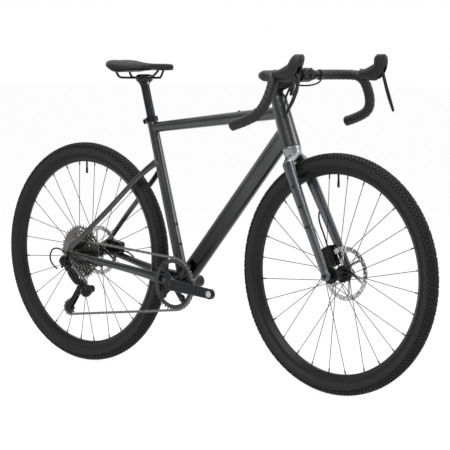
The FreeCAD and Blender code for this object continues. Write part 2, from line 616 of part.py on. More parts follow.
leg_down = (on_leg(crown_height, S.fork_rake, 0) - on_leg(S.shoulder_drop, S.shoulder_front, 0)).normalize()
leg_front = V(-leg_down.z, 0, leg_down.x)
leg_span = crown_height - S.shoulder_drop
leg_top_share = 0.25
shoulder_tilt_share = 0.6
legs = []
for side in SIDES:
    name = "fork_leg_%d" % len(legs)
    middle = S.shoulder_drop + leg_span * leg_top_share
    middle_front = S.shoulder_front + (S.fork_rake - S.shoulder_front) * leg_top_share
    outward = Y_AXIS * side
    arch = (on_leg(S.arch_drop, 0, 0), outward, steer_front, "arch_depth", "arch_thickness")
    shoulder = (on_leg(S.shoulder_drop, S.shoulder_front, side * S.shoulder_side),
                outward * shoulder_tilt_share + leg_down,
                leg_front, "shoulder_depth", "shoulder_width")
    leg_top = (on_leg(middle, middle_front, side * S.leg_side), leg_down, leg_front, "leg_depth", "leg_width")
    leg_foot = (on_leg(crown_height, S.fork_rake, side * eye_side), leg_down, leg_front,
                "leg_end_depth", "leg_end_width")
    legs.append(tube(name + "_arch", [arch, shoulder, leg_top], straight=True))
    legs.append(tube(name + "_blade", [leg_top, leg_foot]))
    legs.append(cylinder(name + "_eye", "fork_eye_radius", "fork_eye_thickness",
                         place(across(front_axle, side * fork_width), outward)))
fork_blank = fuse("fork_blank", [steerer] + legs)
fork_bore_place = place(across(front_axle, -fork_width - S.fork_eye_thickness), Y_AXIS)
fork_bore = cylinder("fork_bore", "axle_radius + shaft_fit",
                     "front_hub_width + fork_eye_thickness + fork_eye_thickness", fork_bore_place)
fork_faces = cylinder("fork_faces", "fork_eye_radius + fork_eye_thickness", "front_hub_width",
                      place(across(front_axle, -fork_width), Y_AXIS))
node(cut("fork", fork_blank, fuse("fork_cuts", [fork_bore, fork_faces])), "fork")

node(turned("front_axle", [
    ("0", "0"), ("axle_head_radius", "0"), ("axle_head_radius", "axle_head_length"),
    ("axle_radius", "axle_head_length"),
    ("axle_radius", "axle_head_length + front_hub_width + fork_eye_thickness + fork_eye_thickness"),
    ("0", "axle_head_length + front_hub_width + fork_eye_thickness + fork_eye_thickness"),
], place(across(front_axle, fork_width + S.fork_eye_thickness + S.axle_head_length), Y_AXIS * -1)),
    "front_axle")

# Headset cover, spacer and top cap on the steerer

cover_place = place(on_steer(head_top + S.seat_gap), steer_up, steer_front)
head_cover = turned("headset_cover", [
    ("steerer_radius + shaft_fit", "0"), ("head_upper_radius", "0"),
    ("spacer_radius", "cover_height - seat_gap"),
    ("steerer_radius + shaft_fit", "cover_height - seat_gap"),
], cover_place)
spacer = turned("headset_spacer", [
    ("steerer_radius + shaft_fit", "0"), ("spacer_radius", "0"), ("spacer_radius", "spacer_height"),
    ("steerer_radius + shaft_fit", "spacer_height"),
], place(on_steer(head_top + S.cover_height), steer_up, steer_front))
stem_base = head_top + S.cover_height + S.spacer_height
top_cap = turned("top_cap", [
    ("boss_socket_radius", "0"), ("spacer_radius", "0"), ("spacer_radius", "cap_height"),
    ("boss_socket_radius", "cap_height"),
], place(on_steer(stem_base + S.stem_height), steer_up, steer_front))
node(group("headset_spacers", [head_cover, spacer, top_cap]), "headset_spacers")

# Stem with its bar clamp, and the faceplate that closes it

stem_mid = on_steer(stem_base + S.stem_height / 2)
bar_centre = stem_mid + steer_front * S.stem_length
stem_place = place(on_steer(stem_base), steer_up, steer_front)
stem_clamp = cylinder("stem_clamp", "stem_radius", "stem_height", stem_place)
stem_arm = tube("stem_arm", [
    (stem_mid, steer_front, steer_up, "stem_arm_rear_depth", "stem_arm_rear_width"),
    (bar_centre, steer_front, steer_up, "stem_arm_front_depth", "stem_arm_front_width"),
])
clamp_place = place(across(bar_centre, -S.bar_clamp_width / 2), Y_AXIS, steer_front)
bar_clamp = cylinder("bar_clamp", "bar_clamp_radius", "bar_clamp_width", clamp_place)
bar_hole = cylinder("bar_hole", "bar_centre_radius + shaft_fit", "bar_clamp_width", clamp_place)


def clamp_half(name, back):
    """A block that covers the bar clamp on one side of the split."""
    item = doc.addObject("Part::Box", name)
    bind(item, "Length", "bar_clamp_radius + overrun")
    bind(item, "Width", "bar_clamp_width + overrun + overrun")
    bind(item, "Height", "bar_clamp_radius + bar_clamp_radius + overrun + overrun")
    corner = bar_centre + steer_front * back - steer_up * (S.bar_clamp_radius + S.overrun)
    corner.y = -S.bar_clamp_width / 2 - S.overrun
    item.Placement = place(corner, steer_up, steer_front)
    return item


steerer_hole = cylinder("steerer_hole", "steerer_radius + shaft_fit", "stem_height",
                        place(on_steer(stem_base), steer_up, steer_front))
node(cut("stem", fuse("stem_blank", [stem_clamp, stem_arm, bar_clamp]),
         fuse("stem_cuts", [bar_hole, steerer_hole, clamp_half("stem_split", -S.clamp_gap / 2)])), "stem")
face_ring = cut("faceplate_ring",
                cylinder("faceplate_blank", "bar_clamp_radius", "bar_clamp_width", clamp_place),
                cylinder("faceplate_hole", "bar_centre_radius + shaft_fit", "bar_clamp_width", clamp_place))
faceplate = doc.addObject("Part::Common", "stem_faceplate")
faceplate.Base = face_ring
faceplate.Tool = clamp_half("faceplate_half", S.clamp_gap / 2)
node(faceplate, "stem_faceplate")

# Bolts of the stem, and the three carrier bolts on each fork leg

front_bolts = []
for side in SIDES:
    for level in SIDES:
        base = bar_centre + steer_front * S.bar_clamp_radius + steer_up * (level * S.clamp_bolt_rise)
        base.y = side * S.clamp_bolt_side
        bolt_name = "face_bolt_%d" % len(front_bolts)
        front_bolts.append(boss_bolt(bolt_name, base + steer_front * S.weld_gap, steer_front))
for count in range(2):
    height = stem_base + S.stem_height * (count + half_share) / 2
    base = on_steer(height) - steer_front * (S.stem_radius + S.weld_gap)
    front_bolts.append(boss_bolt("stem_bolt_%d" % count, base, steer_front * -1))
front_bolts.append(boss_bolt(
    "cap_bolt", on_steer(stem_base + S.stem_height + S.cap_height + S.weld_gap), steer_up))
for side in SIDES:
    for count in range(3):
        below = S.fork_boss_start + count * S.boss_spacing
        share = (below - S.shoulder_drop) / leg_span
        lean = S.shoulder_front + (S.fork_rake - S.shoulder_front) * share
        swell = (share - leg_top_share) / (1 - leg_top_share)
        spread = S.leg_side + (eye_side - S.leg_side) * swell
        depth = S.leg_width + (S.leg_end_width - S.leg_width) * swell
        base = on_leg(below, lean, side * (spread + depth + S.fork_boss_lift))
        front_bolts.append(boss_bolt("fork_bolt_%d_%d" % (side, count), base, Y_AXIS * side))
node(group("front_bolts", front_bolts), "front_bolts")

# Handlebar: clamp bulge, straight tops, forward reach and flared drops


def rounded_route(points, share):
    """Straight runs joined by tangent arcs, each as large as its shorter run allows."""
    edges = []
    start = points[0]
    for before, corner, after in zip(points, points[1:], points[2:]):
        into = (corner - before).normalize()
        out = (after - corner).normalize()
        back = share * min((corner - before).Length, (after - corner).Length)
        first = corner - into * back
        last = corner + out * back
        half_turn = into.getAngle(out) / 2
        radius = back / math.tan(half_turn)
        inside = (out - into).normalize()
        middle = corner + inside * (radius / math.cos(half_turn) - radius)
        edges.append(Part.LineSegment(start, first).toShape())
        edges.append(Part.Arc(first, middle, last).toShape())
        start = last
    edges.append(Part.LineSegment(start, points[-1]).toShape())
    return Part.Wire(edges)


bend_share = 0.45
volume_slack_share = 0.02


def pipe(points, radius, share=bend_share):
    """A round rod along a route of straight runs and arcs."""
    route = rounded_route(points, share)
    ring = Part.Wire(Part.Circle(points[0], points[1] - points[0], radius).toShape())
    rod = route.makePipeShell([ring], True, False)
    expected = math.pi * radius ** 2 * route.Length
    if abs(rod.Volume - expected) > volume_slack_share * expected:
        raise SystemExit("a bent rod has the wrong volume")
    return rod


def cockpit(forward, side, rise):
    """A point seen from the middle of the bar clamp."""
    return V(bar_centre.x + forward, side, bar_centre.z + rise)


# Each corner of a drop as shares of the reach, the flare and the drop
bar_hook_shares = (
    (-0.07, 0.0, 0.0), (0.7, 0.1, -0.02), (0.77, 0.64, -0.42), (0.6, 1.02, -0.76), (0.12, 1.18, -0.94),
    (-0.5, 1.22, -1.05))


def bar_hook(side):
    """Corners of one side of the bar, from the top's outer corner to the end of the drop."""
    corners = []
    for reach, flare, drop in bar_hook_shares:
        width = S.bar_half_width + flare * S.bar_flare
        corners.append(cockpit(reach * S.bar_reach, side * width, drop * S.bar_drop))
    return corners


def bar_points(side, start):
    """Route of one side of the bar from a distance off the middle to the end of the drop."""
    corners = bar_hook(side)
    return [bar_centre + (corners[0] - bar_centre) * (start / S.bar_half_width)] + corners


bar_sides = [pipe(bar_points(side, 0), S.bar_radius) for side in SIDES]
bulge = Part.makeCylinder(
    S.bar_centre_radius, 2 * S.bar_bulge_half, cockpit(0, -S.bar_bulge_half, 0), Y_AXIS)
bulge_ends = [Part.makeCone(
    S.bar_centre_radius, S.bar_radius, S.bar_bulge_taper,
    cockpit(0, side * S.bar_bulge_half, 0), Y_AXIS * side)
    for side in SIDES]
solid_node("handlebar", bulge.multiFuse(bulge_ends + bar_sides))

# Bar tape over each side, with an end plug

tape_pieces = []
for side in SIDES:
    sleeve = pipe(bar_points(side, S.tape_start), S.tape_radius)
    core = pipe(bar_points(side, S.tape_start - S.overrun), S.bar_radius + S.weld_gap)
    tape_pieces.append(sleeve.cut(core))
    end = bar_hook(side)[-1]
    way = (end - bar_hook(side)[-2]).normalize()
    tape_pieces.append(Part.makeCylinder(S.tape_radius, S.plug_length, end + way * S.weld_gap, way))
solid_node("bar_tape", Part.makeCompound(tape_pieces))

# Lever bodies under their hoods, each with a slot for the brake lever

# Stations as shares of reach, rise, a right angle's tilt, half width, half height and the lean to the middle
hood_shares = (
    (0.0, 0.0, 0.05, 1.0, 0.92, 0.0), (0.42, 0.05, 0.12, 1.0, 1.02, 0.0), (0.73, 0.2, 0.38, 1.0, 1.16, 0.0),
    (0.88, 0.52, 0.8, 1.06, 1.1, 0.3), (0.93, 0.8, 1.0, 1.06, 1.02, 0.75), (0.96, 1.0, 1.0, 0.55, 0.52, 1.0))
# Stations of the lever blade as shares of its reach, its drop, its flare, its half width and its thickness
lever_shares = (
    (0.0, 0.0, 0.0, 0.9, 1.2), (0.56, 0.11, 0.0, 1.0, 1.2), (0.9, 0.25, 0.0, 1.0, 1.2),
    (1.0, 0.48, 0.2, 1.15, 1.0), (0.92, 0.7, 0.5, 1.1, 1.0), (0.66, 1.0, 1.0, 0.8, 0.9))
side_words = {-1: "right", 1: "left"}


def section(centre, along, side, half_side, half_other):
    """A closed oval: half_side along side, half_other square to it."""
    if half_side < half_other:
        side = V(along).cross(V(side))
        half_side, half_other = half_other, half_side
    oval = Part.Ellipse(V(0, 0, 0), half_side, half_other).toShape()
    oval.Placement = place(centre, along, side)
    return Part.Wire(oval)


for side in SIDES:
    word = side_words[side]
    lever_side = side * (S.bar_half_width + S.hood_lean)
    rings = []
    for forward, rise, tilt, width, height, lean in hood_shares:
        across_lean = lever_side - side * lean * S.hood_toe
        centre = cockpit(S.hood_start + forward * S.hood_reach, across_lean, rise * S.hood_rise)
        angle = tilt * math.pi / 2
        along = V(math.cos(angle), 0, math.sin(angle))
        up = V(-math.sin(angle), 0, math.cos(angle))
        rings.append(section(centre, along, up, height * S.hood_half_height, width * S.hood_half_width))
    hood = Part.makeLoft(rings, True, False)
    pivot = cockpit(S.lever_pivot_front, lever_side, S.lever_pivot_rise)
    slot_width = 2 * (S.lever_half_width + S.lever_slot_gap)
    slot_corner = pivot + V(
        -S.lever_boss_radius - S.lever_slot_gap - S.lever_slot_back, -slot_width / 2,
        S.lever_boss_radius + S.lever_slot_gap - S.lever_slot_height)
    slot = Part.makeBox(S.hood_reach, slot_width, S.lever_slot_height, slot_corner)
    if side < 0:
        # Room for the shift paddle as it swings in and goes back with the lever
        room_height = S.lever_slot_height - S.lever_boss_radius - S.lever_slot_gap - S.paddle_room_drop
        room = Part.makeBox(
            S.hood_reach, slot_width + S.paddle_room_side, room_height,
            slot_corner - X_AXIS * S.paddle_room_back)
        slot = slot.fuse(room)
    pin_length = 2 * S.lever_pin_half
    pin_start = pivot - Y_AXIS * S.lever_pin_half
    pin_hole = Part.makeCylinder(S.lever_pin_radius + S.shaft_fit, pin_length, pin_start, Y_AXIS)
    tape_room = pipe(bar_points(side, S.tape_start), S.tape_radius + S.weld_gap)
    solid_node("hood_" + word, hood.cut(tape_room).cut(slot).cut(pin_hole))

    # Brake lever: boss and pin in the slot, then the blade down to its tip
    rings = []
    points = []
    for reach, drop, flare, width, depth in lever_shares:
        points.append(pivot + V(reach * S.lever_reach, side * flare * S.lever_flare, -drop * S.lever_drop))
    ways = []
    for before, after in zip([points[0]] + points, points[1:] + [points[-1]]):
        ways.append(after - before)
    for point, way, (reach, drop, flare, width, depth) in zip(points, ways, lever_shares):
        level = Y_AXIS - way * (way.y / way.Length ** 2)
        rings.append(section(point, way, level, width * S.lever_half_width, depth * S.lever_half_depth))
    blade = Part.makeLoft(rings, True, True)
    boss_start = pivot - Y_AXIS * S.lever_half_width
    boss = Part.makeCylinder(S.lever_boss_radius, 2 * S.lever_half_width, boss_start, Y_AXIS)
    pin_start = pin_start + Y_AXIS * S.shaft_fit
    pin = Part.makeCylinder(S.lever_pin_radius, pin_length - 2 * S.shaft_fit, pin_start, Y_AXIS)
    solid_node("brake_lever_" + word, blade.multiFuse([boss, pin]))

# Shift paddle behind the right lever, hung from an eye under the lever's boss

lever_side = -(S.bar_half_width + S.hood_lean)
paddle_pivot = cockpit(S.lever_pivot_front - S.paddle_back, lever_side,
                       S.lever_pivot_rise - S.lever_boss_radius - S.paddle_eye_radius - S.seat_gap)
eye = Part.makeCylinder(
    S.paddle_eye_radius, S.paddle_eye_length, paddle_pivot - X_AXIS * (S.paddle_eye_length / 2), X_AXIS)
paddle_way = V(S.paddle_lean, 0, -S.paddle_drop)
# Stations of the paddle as shares of its length, its half width and the lever's flare
paddle_shares = ((0.0, 0.45, 0.0), (0.36, 0.5, 0.0), (0.6, 0.8, 0.1), (0.8, 1.0, 0.24), (1.0, 0.7, 0.38))
paddle_rings = []
for share, width, flare in paddle_shares:
    paddle_point = paddle_pivot + paddle_way * share - Y_AXIS * (flare * S.lever_flare)
    paddle_rings.append(section(paddle_point, paddle_way, Y_AXIS, width * S.paddle_half_width,
                                S.paddle_half_depth))
solid_node("shift_paddle", Part.makeLoft(paddle_rings, True, True).fuse(eye))

# Wheels: tyre, rim with valve, spokes, hub and rotor


def wheel_place(axle):
    """Local Z along Y, local X forward."""
    return place(axle, Y_AXIS, X_AXIS)


def tyre_shape(axle):
    """A casing of round section with two beads inside the rim."""
    def at(half_width, radius):
        return V(half_width, radius, 0)
    lip = S.rim_outer_radius + S.weld_gap
    bead = S.rim_half_width - S.rim_wall - S.weld_gap
    inner_bead = bead - S.tyre_wall
    foot = S.rim_bed_radius + S.weld_gap
    crown = S.tyre_radius
    hollow_crown = S.tyre_radius - S.tyre_wall
    middle = S.tyre_radius - S.tyre_half_width
    hollow_side = S.tyre_half_width - S.tyre_wall

    def curve(points):
        return Part.Arc(*points).toShape()

    edges = []
    for side in (1, -1):
        edges.append(curve([at(side * S.rim_half_width, lip), at(side * S.tyre_half_width, middle),
                            at(0, crown)]))
        edges.append(Part.makePolygon([
            at(side * S.rim_half_width, lip), at(side * bead, lip), at(side * bead, foot),
            at(side * inner_bead, foot), at(side * inner_bead, lip)]))
        edges.append(curve([at(side * inner_bead, lip), at(side * hollow_side, middle), at(0, hollow_crown)]))
    flat = [edge for piece in edges for edge in piece.Edges]
    outline = Part.Wire(Part.__sortEdges__(flat))
    ring = Part.Face(outline).revolve(V(0, 0, 0), V(1, 0, 0), 360)
    ring.Placement = place(axle, Z_AXIS, Y_AXIS)
    return ring


def spoke_set(axle, flanges):
    """Twenty-eight spokes with nipples, half from each flange, crossed in pairs."""
    spokes = []
    per_side = S.spoke_count / 2
    for side_name, flange in flanges:
        for count in range(int(per_side)):
            lead = 1 if count % 2 else -1
            shift = 0 if flange > 0 else math.pi / per_side
            rim_turn = 2 * math.pi * count / per_side + shift + math.pi / S.spoke_count
            hub_turn = rim_turn + lead * math.radians(S.spoke_cross_angle)
            face = flange + lead * (S.flange_half + S.spoke_radius)
            hub_way = V(math.cos(hub_turn), 0, math.sin(hub_turn))
            hub_end = across(axle + hub_way * S.spoke_hole_radius, face)
            lean = math.copysign(S.spoke_rim_offset, flange) + lead * S.spoke_rim_offset / 2
            rim_way = V(math.cos(rim_turn), 0, math.sin(rim_turn))
            rim_end = across(axle + rim_way * S.rim_inner_radius, lean)
            way = rim_end - hub_end
            wire = Part.makeCylinder(S.spoke_radius, way.Length, hub_end, way)
            nipple_start = rim_end - way * (S.nipple_length / way.Length)
            nipple = Part.makeCylinder(S.nipple_radius, S.nipple_length, nipple_start, way)
            spokes.append(wire.fuse(nipple))
    return Part.makeCompound(spokes)


def rim_pieces(name, axle):
    """A hollow rim with the valve standing through its top."""
    blank = turned(name + "_blank", [
        ("rim_outer_radius", "0 - rim_half_width"), ("rim_outer_radius", "rim_wall - rim_half_width"),
        ("rim_bed_radius", "rim_wall - rim_half_width"), ("rim_bed_radius", "rim_half_width - rim_wall"),
        ("rim_outer_radius", "rim_half_width - rim_wall"), ("rim_outer_radius", "rim_half_width"),
        ("rim_bed_radius - rim_wall", "rim_half_width"), ("rim_inner_radius", "rim_nose_half_width"),
        ("rim_inner_radius", "0 - rim_nose_half_width"), ("rim_bed_radius - rim_wall", "0 - rim_half_width"),
    ], wheel_place(axle))
    cavity = turned(name + "_cavity", [
        ("rim_bed_radius - rim_wall", "rim_wall - rim_half_width"),
        ("rim_bed_radius - rim_wall", "rim_half_width - rim_wall"),
        ("rim_inner_radius + rim_wall", "rim_nose_half_width - rim_wall"),
        ("rim_inner_radius + rim_wall", "rim_wall - rim_nose_half_width"),
    ], wheel_place(axle))
    foot = axle + Z_AXIS * (S.rim_inner_radius - S.valve_length)
    hole = cylinder(name + "_valve_hole", "valve_radius + shaft_fit",
                    "valve_length + rim_outer_radius - rim_inner_radius",
                    place(foot, Z_AXIS))
    stem = cylinder(name + "_valve", "valve_radius", "valve_length + rim_bed_radius - rim_inner_radius",
                    place(foot, Z_AXIS))
    cap = cylinder(name + "_valve_cap", "valve_cap_radius", "valve_cap_length", place(foot, Z_AXIS))
    ring = cut(name + "_ring", blank, fuse(name + "_cuts", [cavity, hole]))
    return group(name, [ring, fuse(name + "_valve_stem", [stem, cap])])


def rotor_shape(axle, offset, turn):
    """A brake disc: slotted track, slanted arms and a splined middle ring."""
    centre = across(axle, offset - S.rotor_thickness / 2)

    def disc(radius):
        return Part.makeCylinder(radius, S.rotor_thickness, centre, Y_AXIS)

    track = disc(S.rotor_radius).cut(disc(S.rotor_track_radius))
    middle = disc(S.rotor_hub_radius).cut(disc(S.lock_radius + S.shaft_fit))
    arms = []
    reach = S.rotor_radius
    for count in range(int(S.rotor_arms)):
        bar = Part.makeBox(reach, S.rotor_thickness, S.rotor_arm_width, V(0, 0, 0))
        bar.rotate(V(0, 0, 0), Y_AXIS, S.rotor_arm_slant)
        bar.translate(V(S.lock_radius + S.rotor_arm_width / 2, 0, 0))
        bar.rotate(V(0, 0, 0), Y_AXIS, turn + 360.0 * count / S.rotor_arms)
        bar.translate(centre)
        arms.append(bar)
    inside = disc((S.rotor_radius + S.rotor_track_radius) / 2).cut(disc(S.lock_radius + S.shaft_fit))
    webs = Part.makeCompound(arms).common(inside)
    holes = []
    for count in range(int(S.rotor_holes)):
        angle = 2 * math.pi * count / S.rotor_holes
        wave = S.rotor_hole_wave * (1 if count % 2 else -1)
        radius = (S.rotor_radius + S.rotor_track_radius) / 2 + wave
        point = centre + V(radius * math.cos(angle), 0, radius * math.sin(angle))
        holes.append(Part.makeCylinder(S.rotor_hole_radius, S.rotor_thickness, point, Y_AXIS))
    return track.multiFuse([middle] + webs.Solids).cut(Part.makeCompound(holes))


front_flanges = (("right", -S.front_right_flange), ("left", S.front_left_flange))
rear_flanges = (("right", -S.rear_right_flange), ("left", S.rear_left_flange))


def hub(name, right_flange, left_flange, rotor_offset, half_width, right_end):
    """A hub shell turned round the axle, with flanges, a rotor seat and end caps."""
    return turned(name, [("axle_radius + shaft_fit", "0 - " + half_width + " + seat_gap")] + right_end + [
        ("flange_radius", "0 - " + right_flange + " - flange_half"),
        ("flange_radius", "0 - " + right_flange + " + flange_half"),
        ("hub_radius", "0 - " + right_flange + " + flange_half"),
        ("hub_radius", left_flange + " - flange_half"),
        ("flange_radius", left_flange + " - flange_half"), ("flange_radius", left_flange + " + flange_half"),
        ("lock_radius", left_flange + " + flange_half"), ("lock_radius", rotor_offset + " + lock_overhang"),
        ("hub_cap_radius", rotor_offset + " + lock_overhang"), ("hub_cap_radius", half_width + " - seat_gap"),
        ("axle_radius + shaft_fit", half_width + " - seat_gap"),
    ], wheel_place(front_axle if name.startswith("front") else rear_axle))


solid_node("front_tyre", tyre_shape(front_axle))
node(rim_pieces("front_rim", front_axle), "front_rim")
solid_node("front_spokes", spoke_set(front_axle, front_flanges))
node(hub("front_hub", "front_right_flange", "front_left_flange", "front_rotor_side", "front_hub_width / 2", [
    ("hub_cap_radius", "0 - front_hub_width / 2 + seat_gap"),
    ("hub_cap_radius", "0 - front_right_flange - flange_half"),
]), "front_hub")
solid_node("front_rotor", rotor_shape(front_axle, S.front_rotor_side, 0))
solid_node("rear_tyre", tyre_shape(rear_axle))
node(rim_pieces("rear_rim", rear_axle), "rear_rim")
solid_node("rear_spokes", spoke_set(rear_axle, rear_flanges))
node(hub("rear_hub", "rear_right_flange", "rear_left_flange", "rear_rotor_side", "rear_hub_width / 2", [
    ("freehub_bore", "0 - rear_hub_width / 2 + seat_gap"), ("freehub_bore", "0 - freehub_start + seat_gap"),
    ("hub_radius", "0 - freehub_start + seat_gap"), ("hub_radius", "0 - rear_right_flange - flange_half"),
]), "rear_hub")
solid_node("rear_rotor", rotor_shape(rear_axle, S.rear_rotor_side, 0))

# Drivetrain: the chain runs in one plane at rest, round the ring, a middle cog and two pulleys

chain_side = -S.chainline
cassette_teeth = (11, 13, 15, 17, 19, 21, 24, 28, 32, 37, 42)
rest_cog = 5
halvings = 40
link_reach_share = 1.1
cage_swing_share = 0.3
ring_teeth = 40
pulley_teeth = 11
cage_pivot = rear_axle + V(S.cage_pivot_front, 0, -S.cage_pivot_drop)


def pitch_radius(teeth):
    """Radius of the circle through the chain's pins on a sprocket."""
    return S.chain_pitch / (2 * math.sin(math.pi / teeth))


def swing(point, centre, angle):
    """A point turned about a centre in the side view, anticlockwise as seen from the drive side."""
    offset = point - centre
    return centre + V(offset.x * math.cos(angle) - offset.z * math.sin(angle), offset.y,
                      offset.x * math.sin(angle) + offset.z * math.cos(angle))


def pulleys(angle):
    """Centres of the guide and tension pulleys with the cage turned by an angle."""
    guide = cage_pivot + V(-S.guide_back, 0, S.guide_rise)
    tension = cage_pivot + V(-S.tension_back, 0, -S.tension_drop)
    return swing(guide, cage_pivot, angle), swing(tension, cage_pivot, angle)


def chain_pieces(angle):
    """Arcs and straight runs of the chain's centre line, in its direction of travel."""
    guide, tension = pulleys(angle)
    wheels = [(bb, pitch_radius(ring_teeth), -1), (tension, pitch_radius(pulley_teeth), -1),
              (guide, pitch_radius(pulley_teeth), 1), (rear_axle, pitch_radius(cassette_teeth[rest_cog]), -1)]
    headings = []
    for first, second in zip(wheels, wheels[1:] + wheels[:1]):
        start, start_radius, start_turn = first
        end, end_radius, end_turn = second
        gap = end - start
        heading = math.atan2(gap.z, gap.x)
        headings.append(heading - math.asin((end_turn * end_radius - start_turn * start_radius) / gap.Length))
    pieces = []
    for count, (centre, radius, turn) in enumerate(wheels):
        first = headings[count - 1] - turn * math.pi / 2
        last = headings[count] - turn * math.pi / 2
        sweep = turn * (turn * (last - first) % (2 * math.pi))
        pieces.append(("arc", centre, radius, first, sweep))
        after, after_radius, after_turn = wheels[(count + 1) % len(wheels)]
        leave = centre + V(math.cos(last), 0, math.sin(last)) * radius
        reach = headings[count] - after_turn * math.pi / 2
        arrive = after + V(math.cos(reach), 0, math.sin(reach)) * after_radius
        pieces.append(("line", leave, arrive, None, None))
    return pieces


def piece_length(piece):
    kind, first, second, start, sweep = piece
    return abs(sweep) * second if kind == "arc" else (second - first).Length


def chain_point(pieces, travel):
    """Point at a distance along the chain's centre line."""
    total = sum(piece_length(piece) for piece in pieces)
    travel = travel % total
    for piece in pieces:
        length = piece_length(piece)
        if travel <= length:
            break
        travel -= length
    kind, first, second, start, sweep = piece
    if kind == "line":
        return first + (second - first) * (travel / length)
    turn = start + sweep * travel / length
    return first + V(math.cos(turn), 0, math.sin(turn)) * second


def walk_chain(pieces, links):
    """Pins placed one pitch apart, and how far the last step ends from the start."""
    travel = 0.0
    pins = [chain_point(pieces, travel)]
    for _ in range(links):
        low = travel + S.chain_pitch
        high = travel + link_reach_share * S.chain_pitch
        for _ in range(halvings):
            middle = (low + high) / 2
            if (chain_point(pieces, middle) - pins[-1]).Length < S.chain_pitch:
                low = middle
            else:
                high = middle
        travel = high
        pins.append(chain_point(pieces, travel))
    total = sum(piece_length(piece) for piece in pieces)
    return pins[:-1], travel - total


def close_chain():
    """Cage angle at which an even number of links closes the loop."""
    total = sum(piece_length(piece) for piece in chain_pieces(0.0))
    links = 2 * round(total / S.chain_pitch / 2)
    low = -cage_swing_share
    high = cage_swing_share
    low_error = walk_chain(chain_pieces(low), links)[1]
    for _ in range(halvings):
        middle = (low + high) / 2
        error = walk_chain(chain_pieces(middle), links)[1]
        if error * low_error > 0:
            low = middle
        else:
            high = middle
    return middle, links


cage_angle, chain_links = close_chain()
chain_pins, chain_error = walk_chain(chain_pieces(cage_angle), chain_links)
guide_centre, tension_centre = pulleys(cage_angle)
print("chain links", chain_links, "closing error", chain_error)
print("cage angle", round(math.degrees(cage_angle), 2))


def rod(start, way, length, radius, bore=0.0):
    """A round bar, hollow if it has a bore."""
    bar = Part.makeCylinder(radius, length, start, way)
    return bar.cut(Part.makeCylinder(bore, length, start, way)) if bore else bar


def link_shape(plate_side, pin_radius, pin_bore):
    """One chain link along X: two waisted plates joined by two round bars."""
    plates = []
    for side in SIDES:
        near = plate_side if side > 0 else -plate_side - S.plate_thickness
        for at in (0, S.chain_pitch):
            plates.append(rod(V(at, near, 0), Y_AXIS, S.plate_thickness, S.plate_radius))
        plates.append(Part.makeBox(S.chain_pitch, S.plate_thickness, 2 * S.plate_waist,
                                   V(0, near, -S.plate_waist)))
    bar_half = plate_side + S.plate_thickness
    bars = [rod(V(at, -bar_half, 0), Y_AXIS, 2 * bar_half, pin_radius)
            for at in (0, S.chain_pitch)]
    whole = plates[0].multiFuse(plates[1:] + bars)
    if pin_bore:
        for at in (0, S.chain_pitch):
            whole = whole.cut(rod(V(at, -S.chain_pitch, 0), Y_AXIS, 2 * S.chain_pitch, pin_bore))
    return whole.removeSplitter()


outer_plate = S.chain_inner_half + S.plate_thickness + S.plate_gap
inner_link = link_shape(S.chain_inner_half, S.roller_radius, S.chain_pin_radius + S.shaft_fit)
outer_link = link_shape(outer_plate, S.chain_pin_radius, 0.0)
links = []
for count, pin in enumerate(chain_pins):
    way = chain_pins[(count + 1) % chain_links] - pin
    link = (inner_link if count % 2 else outer_link).copy()
    link.Placement = place(across(pin, chain_side), V(-way.z, 0, way.x), way)
    links.append(link)
solid_node("chain", Part.makeCompound(links))


def pin_phase(centre, radius):
    """Angle of a chain pin that sits on a sprocket."""
    on_wheel = [pin - centre for pin in chain_pins if abs((pin - centre).Length - radius) < S.phase_slack]
    return math.atan2(on_wheel[0].z, on_wheel[0].x) if on_wheel else 0.0


def sprocket(centre, offset, teeth, thickness, bore, phase):
    """A toothed disc: each gap holds a roller, each tooth narrows to its tip."""
    radius = pitch_radius(teeth)
    seat = S.roller_radius + S.roller_gap
    tip_angle = math.pi / teeth - S.tip_half / (radius + S.tip_height)
    edges = []
    rim = []
    for count in range(teeth):
        turn = phase + 2 * math.pi * count / teeth
        middle = V(math.cos(turn), 0, math.sin(turn)) * radius
        inward = turn + math.pi
        seat_points = [middle + V(math.cos(inward + lean), 0, math.sin(inward + lean)) * seat
                       for lean in (math.pi / 3, 0, -math.pi / 3)]
        tips = [V(math.cos(turn + lean), 0, math.sin(turn + lean)) * (radius + S.tip_height)
                for lean in (-tip_angle, tip_angle)]
        rim.append((tips[0], seat_points, tips[1]))
    for count, (first_tip, seat_points, last_tip) in enumerate(rim):
        edges.append(Part.LineSegment(first_tip, seat_points[0]).toShape())
        edges.append(Part.Arc(*seat_points).toShape())
        edges.append(Part.LineSegment(seat_points[2], last_tip).toShape())
        edges.append(Part.LineSegment(last_tip, rim[(count + 1) % teeth][0]).toShape())
    disc = Part.Face(Part.Wire(edges)).extrude(Y_AXIS * thickness)
    disc.translate(across(centre, offset - thickness / 2))
    return disc.cut(rod(across(centre, offset - thickness), Y_AXIS, 2 * thickness, bore))


# Cassette of eleven cogs with spacers and a lockring on the freehub body

